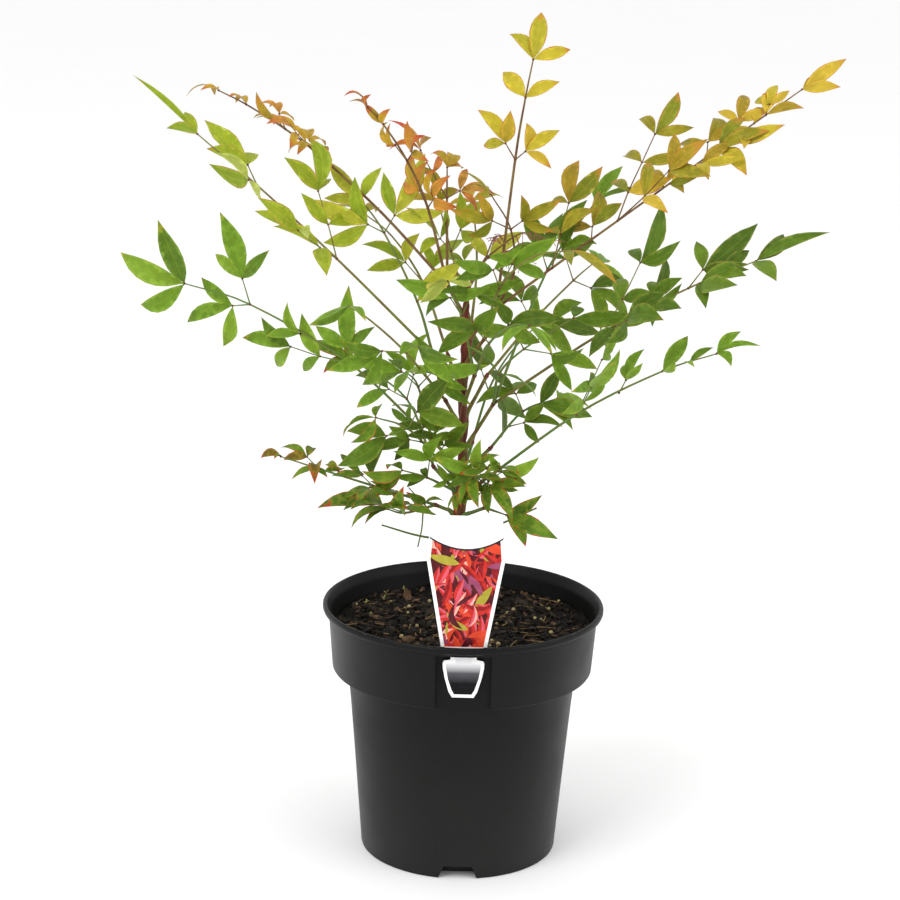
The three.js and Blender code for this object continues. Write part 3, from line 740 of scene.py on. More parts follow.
tab_outline = mirrored(TAB_HALF) + mirrored(TAB_FIELD_HALF)[::-1]
sheet_cut("label_tab_border", tab_outline, CARD_FRONT, FILM_FRONT, card_white)
tab_field = [(x + TAB_FIELD_SHIFT, z) for x, z in TAB_FIELD_HALF]
sheet_cut("label_tab_field", mirrored(tab_field), CARD_FRONT, CARD_FRONT - 0.2, tab_fade)

field_right = side_points((FIELD_TOP_Z, BEND_Z, FOOT_Z), PRINT_EDGE)
field_ink = print_finish("print_deep", PRINT_DEEP)
sheet_cut("label_field", mirrored(field_right), CARD_FRONT, CARD_FRONT - 0.02, field_ink)
sheet_cut("label_foot_line", mirrored(side_points(FOOT_LINE_Z)), CARD_FRONT, FILM_FRONT, card_white)

print_leaves = Heap()
draw = np.random.default_rng(5)
for index in range(PRINT_LEAVES):
    z = draw.uniform(163, PRINT_TOP_Z)
    x = draw.uniform(-1, 1) * half_width(z)
    length = draw.uniform(9, 22)
    width = length * draw.uniform(0.15, 0.27)
    lean = PRINT_LEANS[0] if draw.random() < 0.6 else PRINT_LEANS[1]
    heading = draw.normal(lean, 0.55)
    bow = draw.normal(0, 0.4) * length
    depth = CARD_FRONT - 0.03 - 0.3 * index / PRINT_LEAVES
    shade = int(draw.choice(len(SHADE_SHARES), p=SHADE_SHARES))
    other_half = shade + 1 if shade < 3 else shade
    points = []
    for share in np.linspace(-0.5, 0.5, PRINT_STEPS):
        half = width / 2 * math.cos(math.pi * share) ** 0.8 * (1.15 - share * 0.6)
        off = bow * (0.25 - share * share) * 4 * 0.4
        for side in (-1, 0, 1):
            flat = complex(share * length, off + side * half)
            flat *= complex(math.cos(heading), math.sin(heading))
            points.append((PANEL_X + x + flat.real, depth, z + flat.imag))
    corners = [3 * step + side for step in range(PRINT_STEPS - 1) for side in (0, 1)]
    faces = [(corner, corner + 3, corner + 4, corner + 1) for corner in corners]
    print_leaves.add(points, faces, [other_half, shade] * (PRINT_STEPS - 1))
pattern = print_leaves.make("label_pattern", [print_finish(*row) for row in PRINT_SHADES.items()])


def trim(piece, corner, way):
    """Cuts a flat piece off past a line through a corner that faces the given way."""
    take_up(piece)
    bpy.ops.object.mode_set(mode="EDIT")
    bpy.ops.mesh.select_all(action="SELECT")
    way = Vector(way).normalized()
    bpy.ops.mesh.bisect(plane_co=Vector(corner) * MM, plane_no=way, clear_outer=True)
    bpy.ops.object.mode_set(mode="OBJECT")


for hand in (-1, 1):
    edge = side_points((PRINT_LOW_Z, BEND_Z, PRINT_TOP_Z), PRINT_EDGE)
    low, bend, top = [Vector((PANEL_X + hand * x, 0, z)) for x, z in edge]
    for run in (bend - low, top - bend):
        trim(pattern, bend, (hand * run.z, 0, -hand * run.x))
trim(pattern, (0, 0, FOOT_Z + 0.1), (0, 0, -1))
trim(pattern, (0, 0, PRINT_TOP_Z - 1), (0, 0, 1))
place_piece(pattern, "label")


# Cane ---------------------------------------------------------------------------
# The one upright stem: thin, leaning a little, with dark red-brown bark furrowed along
# the grain. It swells at each ring where a leaf has stood, and comes up out of the mix.

CANE_LEAN = 0.012
CANE_LOW_Z = 146
CANE_TOP_Z = 380
CANE_FOOT_R = 3.1
CANE_TOP_R = 1.7
CANE_RINGS = [170, 184, 198, 212, 226, 242, 258, 274, 290, 306, 322, 338, 352, 366]
CANE_SWELL = 0.5
RING_REACH = 2.4
CROWN_Z = 148
CROWN_SWELL = 1.6
CROWN_REACH = 5
CANE_SIDES = 36
CANE_STEP = 1.5
FURROW = 0.34
CANE_OLD_Z = (0.185, 0.235)
BARK_OLD = ((0.09, 0.05, 0.024), (0.14, 0.1, 0.038))
BARK_RED = ((0.19, 0.036, 0.021), (0.11, 0.026, 0.016))
BARK_FURROW = (0.04, 0.014, 0.01)


def cane_axis(z):
    """The middle of the cane at a height."""
    return Vector((CANE_X + (z - SOIL_Z) * CANE_LEAN, 0, z))


def cane_radius(z):
    """The cane's taper, its swollen rings and the crown of roots at its foot."""
    taper = CANE_FOOT_R + (CANE_TOP_R - CANE_FOOT_R) * (z - SOIL_Z) / (CANE_TOP_Z - SOIL_Z)
    swell = sum(math.exp(-(((z - ring) / RING_REACH) ** 2)) for ring in CANE_RINGS)
    crown_of_roots = CROWN_SWELL * math.exp(-max(0, z - CROWN_Z) / CROWN_REACH)
    return taper + CANE_SWELL * swell + crown_of_roots


cane_steps = int((CANE_TOP_Z - CANE_LOW_Z) / CANE_STEP)
cane_heights = [CANE_LOW_Z + CANE_STEP * step for step in range(cane_steps + 1)]
cane = turned("cane_bark", [(cane_radius(z), z) for z in cane_heights], CANE_SIDES)
for corner in cane.data.vertices:
    x, y, z = corner.co / MM
    round_way = Vector((x, y, 0)).normalized()
    furrow = noise.fractal(Vector((3.1 * round_way.x, 3.1 * round_way.y, z / 26)), 0.9, 2.2, 4)
    bow = 0.7 * math.sin((z - SOIL_Z) / 42) + 0.4 * math.sin((z - SOIL_Z) / 17)
    corner.co = (Vector((x + bow * 0.5, y + bow * 0.3, z)) + FURROW * furrow * round_way) * MM
    corner.co.x += cane_axis(z).x * MM

bark, shader, place = new_finish("red_brown_bark", 0.7, 0.2)
streaks = grain(place, 0.0016, 5, (1, 1, 9))
patches = grain(place, 0.014, 4)
old_bark = tinted(spread(patches, 0.4, 0.62), *BARK_OLD)
red_bark = tinted(spread(patches, 0.35, 0.7), *BARK_RED)
bark_colour = tinted(spread(height_of(place), *CANE_OLD_Z), old_bark, red_bark)
bark_colour = tinted(spread(streaks, 0.45, 0.72, 0, 0.7), bark_colour, BARK_FURROW)
feed(shader, "Base Color", bark_colour)
feed(shader, "Roughness", spread(streaks, 0.3, 0.7, 0.5, 0.85))
relief(shader, streaks, 0.0005)
cane.data.materials.append(bark)
smooth_faces(cane, 50)
place_piece(cane, "cane")


# Fronds' stalks -----------------------------------------------------------------
# Each frond is one great leaf. Its round stalk springs from a sheath that clasps the cane
# and ends in a swollen joint, where the sprays part; old stalks were snipped off short, and
# the dried stalk of an old flower still stands at the top.

# Fronds: foot's height on the cane, heading, rise, length and colour.
FRONDS = {
    "upper_right": (342, 15, 48, 30, "brown"),
    "upper_left": (357, 150, 56, 26, "brown"),
    "mid_left": (318, 190, 40, 27, "olive"),
    "mid_right": (268, -20, 60, 42, "olive"),
    "left": (258, 175, 45, 27, "olive"),
    "lower_right": (234, -35, 48, 26, "green"),
    "lower_left": (228, 200, 25, 18, "green"),
    "foot_right": (226, -60, 25, 36, "green"),
    "front": (300, -72, 50, 34, "olive"),
    "back": (322, 80, 50, 36, "brown"),
    "front_left": (285, 235, 50, 30, "olive"),
    "back_left": (305, 120, 50, 32, "olive"),
    "back_right": (290, 40, 55, 34, "olive"),
    "front_right": (328, -55, 45, 30, "brown"),
    "low_front": (250, -128, 40, 28, "green"),
    "low_back": (250, 70, 45, 30, "green"),
    "low_left": (240, 150, 40, 26, "green"),
    "low_right": (254, 15, 42, 26, "green"),
    "foot_front": (236, -95, 35, 20, "green"),
}
# Old stalks: foot's height on the cane, heading, rise and length.
OLD_STALKS = {
    "old_stalk_left": (210, 192, 14, 52),
    "old_stalk_left_short": (219, 172, 30, 40),
    "old_stalk_low": (213, 235, -6, 32),
    "old_stalk_right": (214, -20, 25, 58),
}
# Two thin cut stalks beside the label, one that rises and one that hangs: ends and radius.
CUT_ENDS = [
    ((-4.3, 0, 209.1), (-36.7, -20, 250.8), 0.5),
    ((-27.5, -11.3, 235.2), (-30.4, -14, 209.8), 0.55),
]
CUT_END_BOW = Vector((0.9, 0, -0.7))
OLD_STALK_RADII = (0.85, 0.55)
OLD_STALK_END_R = 0.62
STALK_SIDES = 14
SHEATH_RINGS = 10
# The stalk swells into its sheath: radii at some of the rings from its foot to its tip.
SHEATH_STEPS = [0, 3, 7, 12, 18, 24]
SHEATH_RADII = [1, 2.1, 2.2, 1.5, 1.15, 1.2]
# The joint at a stalk's tip: three knuckles in a row, how far along and how large.
KNUCKLES = ((0, 1.6), (-1.6, 1.35), (1.4, 1.25))
FLOWER_STUB = (377, 40, 52, 24)
FLOWER_BRANCHES = [(-30, 36, 54), (-48, 18, 44), (62, 46, 26), (40, 5, 20)]
STUB_RADII = (1.35, 0.8)
BRANCH_RADII = (0.6, 0.35)
FLOWER_STALK_RADII = (0.28, 0.2)
FLOWER_END_R = 0.42
STALK_COLOURS = {
    "brown": ((0.19, 0.12, 0.035), (0.12, 0.05, 0.022)),
    "olive": ((0.19, 0.19, 0.04), (0.15, 0.1, 0.03)),
    "green": ((0.1, 0.18, 0.035), (0.15, 0.16, 0.035)),
    "rose": ((0.34, 0.08, 0.085), (0.24, 0.05, 0.05)),
    "joint": ((0.17, 0.045, 0.03), (0.09, 0.022, 0.017)),
    "sheath": ((0.14, 0.036, 0.022), (0.12, 0.08, 0.03)),
}


def stalk_finish(name, base, patch):
    """The waxy rind of a stalk, patched with a second colour and finely ribbed."""
    finish, shader, place = new_finish(name, 0.5, 0.145)
    patches = grain(place, 0.012, 4)
    fibre = grain(place, 0.0008)
    colour = tinted(spread(patches, 0.42, 0.66), base, patch)
    feed(shader, "Base Color", tinted(spread(fibre, 0.5, 0.8, 0, 0.4), colour, patch))
    feed(shader, "Roughness", spread(patches, 0.3, 0.7, 0.42, 0.6))
    relief(shader, fibre, 0.00015, 0.5)
    return finish


stalk_finishes = {name: stalk_finish(f"stalk_{name}_rind", *row) for name, row in STALK_COLOURS.items()}


def rinds(*kinds):
    """The finishes of a stalk, its joints and its sheath."""
    return [stalk_finishes[kind] for kind in kinds]


def pointing(heading, rise):
    """A unit way from a heading and a rise in degrees."""
    flat = math.cos(math.radians(rise))
    turn = math.radians(heading)
    return Vector((flat * math.cos(turn), flat * math.sin(turn), math.sin(math.radians(rise))))


def smooth_path(points, steps=5):
    """A smooth curve through the points, with so many steps from each to the next."""
    ends = [2 * points[0] - points[1], *points, 2 * points[-1] - points[-2]]
    path = []
    for a, b, c, d in zip(ends, ends[1:], ends[2:], ends[3:]):
        for step in range(steps):
            t = step / steps
            bend = (2 * a - 5 * b + 4 * c - d) * t * t + (3 * b - a - 3 * c + d) * t ** 3
            path.append(0.5 * (2 * b + (c - a) * t + bend))
    return path + [points[-1]]


def tube(path, radii, sides):
    """The points of a round tube along a path, ring by ring."""
    points = []
    side = (path[1] - path[0]).orthogonal()
    for index, (middle, radius) in enumerate(zip(path, radii)):
        way = (path[min(index + 1, len(path) - 1)] - path[max(index - 1, 0)]).normalized()
        side = (side - way * side.dot(way)).normalized()
        up = way.cross(side)
        for step in range(sides):
            turn = step * 2 * math.pi / sides
            points.append(middle + (side * math.cos(turn) + up * math.sin(turn)) * radius)
    return points


def add_tube(heap, points, first, last, sides, slot, steps=5):
    """A tapering stalk through a few points."""
    path = smooth_path(points, steps)
    radii = np.linspace(first, last, len(path))
    heap.add(tube(path, radii, sides), tube_faces(len(path), sides), slot)


def add_ball(heap, middle, radius, slot):
    """A small round knuckle."""
    points, faces = ball(radius, 4, 8)
    heap.add(points + np.array(middle), faces, slot)


def limb_tip(row):
    """The tip of a stalk from its foot's height, heading, rise and length."""
    return cane_axis(row[0]) + row[3] * pointing(row[1], row[2])


for name, row in FRONDS.items():
    foot_z, heading, rise, length, colour = row
    stalk = Heap()
    out = pointing(heading, 0)
    way = pointing(heading, rise)
    foot = cane_axis(foot_z)
    low = cane_axis(foot_z - 15) + out * (cane_radius(foot_z - 15) - 1)
    knee = cane_axis(foot_z - 3) + out * (cane_radius(foot_z) - 0.3)
    path = smooth_path([low, knee, foot + 7 * way, foot + 0.6 * length * way, limb_tip(row)], 6)
    radii = np.interp(range(len(path)), SHEATH_STEPS, SHEATH_RADII)
    faces = tube_faces(len(path), STALK_SIDES)
    sheath_faces = STALK_SIDES * SHEATH_RINGS
    slots = [2] * sheath_faces + [0] * (len(faces) - sheath_faces)
    stalk.add(tube(path, radii, STALK_SIDES), faces, slots)
    for reach, size in KNUCKLES:
        add_ball(stalk, limb_tip(row) + reach * way, size, 1)
    piece = stalk.make("frond_stalk_" + name, rinds(colour, "joint", "sheath"))
    place_piece(piece, "stalk_" + name)

for name, row in OLD_STALKS.items():
    foot_z, heading, rise, length = row
    old = Heap()
    sag = Vector((0, 0, 0.04 * length))
    middle = cane_axis(foot_z) + 0.5 * length * pointing(heading, rise) - sag
    add_tube(old, [cane_axis(foot_z), middle, limb_tip(row)], *OLD_STALK_RADII, 10, 0)
    add_ball(old, limb_tip(row), OLD_STALK_END_R, 1)
    place_piece(old.make("snipped_" + name, rinds("green", "joint")), name)

cut_ends = Heap()
for start, end, thick in CUT_ENDS:
    middle = (Vector(start) + Vector(end)) / 2 + CUT_END_BOW
    add_tube(cut_ends, [Vector(start), middle, Vector(end)], thick, 0.8 * thick, 8, 0)
    add_ball(cut_ends, end, 0.9 * thick, 1)
piece = cut_ends.make("cut_stalk_ends", rinds("green", "joint"))
place_piece(piece, "old_stalk_left_short")

flower = Heap()
stub_tip = limb_tip(FLOWER_STUB)
add_tube(flower, [cane_axis(FLOWER_STUB[0]), stub_tip], *STUB_RADII, 10, 0)
draw = np.random.default_rng(3)
for heading, rise, length in FLOWER_BRANCHES:
    elbow = stub_tip + 0.6 * length * pointing(heading, rise)
    end = elbow + 0.4 * length * pointing(heading, rise - 45)
    branch = [stub_tip, elbow, end]
    add_tube(flower, branch, *BRANCH_RADII, 8, 0)
    for place in smooth_path(branch, 5)[4:]:
        for hand in (-1, 1):
            hang = pointing(heading + hand * draw.uniform(30, 90), draw.uniform(-70, 15))
            tip = place + draw.uniform(4, 9) * hang
            middle = (place + tip) / 2 + Vector((0, 0, 0.6))
            add_tube(flower, [place, middle, tip], *FLOWER_STALK_RADII, 6, 1, 3)
            add_ball(flower, tip, FLOWER_END_R, 1)
piece = flower.make("spent_flower_stalk", rinds("brown", "rose"))
place_piece(piece, "flower_stub")


# Twigs --------------------------------------------------------------------------
# Each frond forks into sprays: thin round stalks that fork again from joint to joint, green
# to brown as their frond is, with a red knuckle at every joint. A spray grows from its seed by
# one rule, stalks and leaves together; its leaves are made in the next section.

LEAF_WIDTH = 0.31
TRIO_ANGLE = 50
PAIR_ANGLE = 55
PINNA_ANGLE = 50
# Beside the size at a joint: a leaf alone, one of a pair, the last leaf and its extra reach,
# and the step between two pairs.
LONE_LEAF = 0.9
PAIR_LEAF = 0.84
END_LEAF = 1.04
END_REACH = 0.12
PAIR_STEP = 0.62
TWIG_SIDES = 8
# Radii of a spray's own stem and of its side twigs from foot to tip, and of their knuckles.
STEM_RADII = (1.0, 0.42)
TWIG_RADII = (0.5, 0.34)
STEM_KNUCKLE_R = 1.05
TWIG_KNUCKLE_R = 0.8
# The finer twigs draw their chances from another seed, so many past the spray's own.
FINE_SEED_STEP = 500
UP = Vector((0, 0, 1))
# Sprays: frond, heading first and last, rise first and last, lengths from joint to joint, side
# growth at each joint (left, right); then leaf length first and last, roll, lift, droop, seed,
# the tint of the first leaves, of the last ones, and the colour of the stalks.
SPRAYS = {
    "upper_right_tall": (
        "upper_right", 58, 62, 79, 68, [95, 40, 25], [(3, 3), (1, 1)],
        27, 31, 15, 0.15, 0.2, 153, "gold", "gold", "brown",
    ),
    "upper_right_long": (
        "upper_right", 14, 15, 35, 34, [44, 52, 71, 47, 29], [(5, 0), (7, 5), (3, 3), (1, 1)],
        36, 31, 8, 0.35, 0.15, 160, "olive", "gold", "brown",
    ),
    "upper_right_mid": (
        "upper_right", -30, -171, 64, 59, [27, 35, 26], [(0, 0), (3, 3)],
        36, 32, 4, 0, 0.15, 356, "olive", "olive", "brown",
    ),
    "upper_left_long": (
        "upper_left", 160, 161, 43, 22, [63, 56, 27, 31, 21], [(0, 0), (5, 5), (3, 5), (1, 1)],
        25, 18, 18, 0.15, 0.2, 89, "bronze", "bronze", "brown",
    ),
    "upper_left_tall": (
        "upper_left", 202, 217, 74, 43, [52, 34, 30, 16], [(3, 3), (3, 3), (1, 1)],
        29, 21, 14, 0.4, 0, 309, "bronze", "coral", "brown",
    ),
    "upper_left_mid": (
        "upper_left", 93, 91, 62, 36, [58, 28], [(5, 3)],
        31, 26, 25, 0, 0.3, 144, "coral", "bronze", "brown",
    ),
    "mid_left_long": (
        "mid_left", 189, 195, 45, 41, [88, 69, 49], [(5, 5), (3, 3)],
        38, 30, -15, 0.3, 0.1, 138, "fresh", "fresh", "olive",
    ),
    "mid_left_up": (
        "mid_left", 148, 144, 69, 45, [35, 49, 27], [(0, 1), (3, 3)],
        38, 34, -53, 0, 0.05, 28, "fresh", "fresh", "green",
    ),
    "mid_right_long": (
        "mid_right", -23, -15, 37, 26, [91, 62, 45], [(5, 5), (3, 3)],
        39, 43, 21, 0.4, 0.15, 134, "deep", "deep", "olive",
    ),
    "mid_right_up": (
        "mid_right", 53, 42, 55, 44, [97, 58], [(3, 3)],
        40, 38, 5, 0.5, 0.05, 33, "deep", "green", "green",
    ),
    "mid_right_near": (
        "mid_right", -81, -6, 53, 35, [30, 28, 37], [(1, 1), (3, 3)],
        39, 38, -45, 0.2, 0.35, 258, "green", "deep", "green",
    ),
    "left_long": (
        "left", 175, 176, 42, 16, [73, 74, 44], [(5, 3), (3, 3)],
        34, 41, -110, 0.3, 0.1, 2, "green", "green", "green",
    ),
    "left_near": (
        "left", 218, 252, 72, 32, [39, 28], [(3, 3)],
        40, 40, 32, 0.25, 0.55, 20, "green", "green", "green",
    ),
    "lower_right_long": (
        "lower_right", -34, -32, 39, 24, [89, 69, 39], [(5, 5), (1, 1)],
        32, 29, 27, 0.5, 0.1, 280, "green", "green", "green",
    ),
    "lower_left_long": (
        "lower_left", 202, 198, 21, 21, [47, 39, 26], [(3, 3), (3, 3)],
        29, 18, -4, 0.15, 0.2, 77, "aged", "curled", "green",
    ),
    "foot_right_low": (
        "foot_right", -38, -56, -5, -11, [17], [],
        36, 34, 85, 0.6, 0.15, 133, "aged", "aged", "green",
    ),
    "foot_right_up": (
        "foot_right", -82, -65, 61, 37, [24, 17], [(3, 3)],
        30, 27, -18, 0.25, 0.4, 31, "green", "aged", "green",
    ),
    "foot_left_low": (
        "lower_left", 218, 237, -3, 20, [25, 21], [(3, 3)],
        36, 37, 15, 0.55, 0.2, 152, "aged", "aged", "green",
    ),
    "front_long": (
        "front", -78, -71, 37, 12, [49, 50, 31], [(3, 3)],
        39, 36, -8, 0.6, 0.55, 300, "deep", "green", "green",
    ),
    "front_up": (
        "front", -148, -118, 75, 52, [41, 32], [(3, 3)],
        38, 33, 42, 0.65, 0.75, 112, "green", "fresh", "green",
    ),
    "back_long": (
        "back", 86, 98, 33, 31, [50, 42, 27], [(3, 3)],
        38, 36, -17, 0, 0.25, 16, "fresh", "olive", "olive",
    ),
    "back_up": (
        "back", 148, 118, 70, 57, [49, 35], [(3, 3)],
        36, 33, -14, 0.5, 0.2, 37, "fresh", "olive", "olive",
    ),
    "front_left_long": (
        "front_left", 236, 234, 41, 30, [60, 44, 25], [(3, 3)],
        39, 37, 15, 0, 0.55, 23, "green", "green", "olive",
    ),
    "back_left_long": (
        "back_left", 116, 137, 45, 24, [58, 44, 29], [(3, 3)],
        36, 37, -6, 0.3, 0.3, 61, "fresh", "olive", "olive",
    ),
    "back_right_long": (
        "back_right", 42, 58, 38, 16, [50, 48, 29], [(3, 3), (3, 3)],
        38, 36, 38, 0, 0.3, 208, "deep", "green", "olive",
    ),
    "front_right_long": (
        "front_right", -73, -46, 54, 16, [47, 44, 35], [(3, 3)],
        37, 34, -1, 0.85, 0.6, 230, "green", "olive", "olive",
    ),
    "low_front_long": (
        "low_front", -134, -138, 42, 23, [40, 29], [(3, 3)],
        38, 32, 54, 0.05, 0.45, 23, "deep", "aged", "green",
    ),
    "low_back_long": (
        "low_back", 71, 49, 42, 29, [42, 34, 32], [(3, 3)],
        39, 37, 70, 0, 0.4, 23, "deep", "green", "green",
    ),
    "low_left_long": (
        "low_left", 128, 166, 52, 32, [50, 44], [(3, 3)],
        35, 35, -53, 0.3, 0.25, 352, "green", "aged", "green",
    ),
    "low_right_long": (
        "low_right", 37, 37, 39, 10, [34, 29], [(3, 3)],
        38, 32, 29, 0.2, 0.4, 49, "deep", "green", "green",
    ),
    "foot_front_left": (
        "foot_front", -144, -158, 29, 20, [28, 18], [(3, 0)],
        32, 31, 45, 0.45, 0.35, 109, "green", "aged", "green",
    ),
    "foot_front_right": (
        "foot_front", -57, -52, 44, -2, [20, 20], [(0, 3)],
        32, 31, 45, 0.05, 0.45, 211, "aged", "aged", "green",
    ),
}
# Finer twigs between the joints: part of the spray, share of the way along it, side,
# growth and leaf length.
FINE_TWIGS = {
    "upper_right_long": [
        (2, 0.5, 1, 3, 27), (2, 0.45, -1, 3, 25), (3, 0.5, 1, 3, 25), (3, 0.5, -1, 1, 27), (4, 0, 1, 3, 22),
        (3, 0.2, -1, 3, 29), (2, 0.8, -1, 3, 28), (1, 0.6, 1, 3, 30), (3, 0.8, 1, 1, 30),
    ],
    "mid_right_long": [(1, 0.5, 1, 3, 29), (1, 0.5, -1, 3, 28), (2, 0.5, 1, 1, 32), (2, 0.5, -1, 1, 28)],
    "lower_right_long": [(1, 0.5, 1, 3, 20), (2, 0.5, 1, 1, 22), (2, 0.5, -1, 1, 19)],
    "left_long": [(1, 0.5, 1, 1, 30), (1, 0.5, -1, 1, 28)],
    "lower_left_long": [(0, 0.6, 1, 3, 20), (1, 0.5, -1, 3, 15)],
    "low_front_long": [
        (0, 0.6, 1, 3, 25), (0, 0.6, -1, 3, 25), (0, 0.12, 1, 3, 26), (0, 0.35, 1, 3, 24),
    ],
    "front_left_long": [(0, 0.3, 1, 3, 26)],
    "low_left_long": [(0, 0.5, -1, 3, 25), (0, 0.5, 1, 3, 22)],
    "low_right_long": [(0, 0.6, -1, 3, 25)],
    "foot_front_left": [(0, 0.7, -1, 3, 22), (0, 0.3, 1, 3, 19), (0, 0.1, 1, 3, 22)],
    "foot_front_right": [(0, 0.7, 1, 3, 23), (0, 0.25, -1, 3, 21), (0, 0.6, -1, 3, 22)],
    "foot_right_up": [(0, 0.3, -1, 3, 19), (0, 0.6, 1, 3, 20), (1, 0.3, -1, 3, 24)],
    "foot_left_low": [(0, 0.3, 1, 3, 18), (0, 0.4, -1, 3, 19)],
}


def chance(seed, count):
    """A repeatable number from 0 to 1 for each seed and count."""
    wave = math.sin(seed * 12.9898 + count * 78.233) * 43758.5453
    return wave - math.floor(wave)


class Spray:
    """A spray's stalks and leaves, grown from its seed."""

    def __init__(self, row, fine_twigs=()):
        self.lift, self.droop, self.seed = row[10:13]
        self.count = 0
        self.share = 0
        self.stalks = []
        self.joints = []
        self.leaves = []
        self.parts = []
        self.grow(row)
        self.tip = len(self.leaves) - 1
        self.seed += FINE_SEED_STEP
        for index, share, hand, growth, size in fine_twigs:
            start, stem, length, side, self.share = self.parts[index]
            at = start + stem * length * share
            self.joints.append((at, TWIG_KNUCKLE_R))
            self.add_side_growth(at, stem, side, hand, growth, size)

    def stray(self, most):
        """The next chance number, from minus the most to the most."""
        self.count += 1
        return (2 * chance(self.seed, self.count) - 1) * most

    def add_leaf(self, root, way, normal, size, reach=0):
        """A leaf, which leans off its way, droops and twists a little."""
        along = (way + normal * self.stray(0.2) - self.droop * UP).normalized()
        flat_side = normal.cross(along).normalized()
        twist = self.stray(0.35)
        side = flat_side * math.cos(twist) + along.cross(flat_side) * math.sin(twist)
        length = size * (1 + self.stray(0.14))
        width = length * LEAF_WIDTH * (1 + self.stray(0.1))
        self.leaves.append((root, along, side, length + reach, width, self.share))

    def add_sides(self, at, way, normal, size, angle):
        """A pair of leaves, one to each side of a joint."""
        side = normal.cross(way)
        for hand in (1, -1):
            turn = math.radians(angle + self.stray(12))
            out = way * math.cos(turn) + side * hand * math.sin(turn)
            self.add_leaf(at, out, normal, size * PAIR_LEAF)
        self.joints.append((at, TWIG_KNUCKLE_R))

    def add_trio(self, at, way, normal, size):
        """Two side leaves and a longer one at the end of a stalk."""
        self.add_sides(at, way, normal, size, TRIO_ANGLE)
        ahead = way + normal.cross(way) * self.stray(0.2)
        self.add_leaf(at, ahead, normal, size * END_LEAF, size * END_REACH)

    def add_side_growth(self, at, stem, side, hand, growth, size):
        """A leaf, or a side stalk with pairs of leaves and three at its end."""
        normal = stem.cross(side).normalized()
        turn = math.radians(PINNA_ANGLE + self.stray(15))
        out = stem * math.cos(turn) + side * hand * math.sin(turn)
        way = (out + UP * (self.lift + self.stray(0.2))).normalized()
        if growth == 1:
            self.add_leaf(at, out + 0.5 * self.lift * UP, normal, size * LONE_LEAF)
            return
        flat_side = normal.cross(way).normalized()
        twist = self.stray(0.4)
        spread_way = flat_side * math.cos(twist) + way.cross(flat_side).normalized() * math.sin(twist)
        face = way.cross(spread_way)
        pairs = (growth - 3) // 2
        points = [at, at + way * size * (0.4 + 0.2 * pairs) * (1 + self.stray(0.25))]
        for _ in range(pairs):
            self.add_sides(points[-1], way, face, size, PAIR_ANGLE)
            way = (way + 0.05 * UP + spread_way * self.stray(0.12)).normalized()
            points.append(points[-1] + way * size * PAIR_STEP * (1 + self.stray(0.15)))
        self.stalks.append((points, *TWIG_RADII))
        self.add_trio(points[-1], way, face, size)

    def grow(self, row):
        """The spray's own stalk from joint to joint, its side growth and its last three leaves."""
        frond, heading_0, heading_1, rise_0, rise_1, lengths, sides, leaf_0, leaf_1, roll = row[:10]
        points = [limb_tip(FRONDS[frond])]
        tilt = math.radians(roll)
        for index, length in enumerate(lengths):
            share = index / (len(lengths) - 1) if len(lengths) > 1 else 0
            self.share = share
            heading = heading_0 + (heading_1 - heading_0) * share
            stem = pointing(heading, rise_0 + (rise_1 - rise_0) * share)
            points.append(points[-1] + stem * length)
            flat = UP.cross(stem).normalized()
            side = flat * math.cos(tilt) + stem.cross(flat) * math.sin(tilt)
            self.parts.append((points[-2], stem, length, side, share))
            if index < len(sides):
                thinner = (STEM_KNUCKLE_R - TWIG_KNUCKLE_R) * share
                self.joints.append((points[-1], STEM_KNUCKLE_R - thinner))
                size = leaf_0 + (leaf_1 - leaf_0) * share
                for hand, growth in zip((1, -1), sides[index]):
                    if growth:
                        self.add_side_growth(points[-1], stem, side, hand, growth, size)
        self.share = 1
        self.stalks.append((points, *STEM_RADII))
        self.add_trio(points[-1], stem, stem.cross(side), leaf_1)


grown_sprays = {}
for name, row in SPRAYS.items():
    grown = Spray(row, FINE_TWIGS.get(name, ()))
    grown_sprays[name] = grown
    twigs = Heap()
    for points, first, last in grown.stalks:
        add_tube(twigs, points, first, last, TWIG_SIDES, 0)
    for middle, radius in grown.joints:
        add_ball(twigs, middle, radius, 1)
    piece = twigs.make("twigs_" + name, rinds(row[-1], "joint"))
    place_piece(piece, "leaves_" + name)


# Leaflets -----------------------------------------------------------------------
# Smooth pointed leaflets in threes and pairs, thin and a little folded along the rib. The
# youngest are gold to coral, the full grown ones green, and the oldest, near the foot, are
# edged and tipped with autumn red.

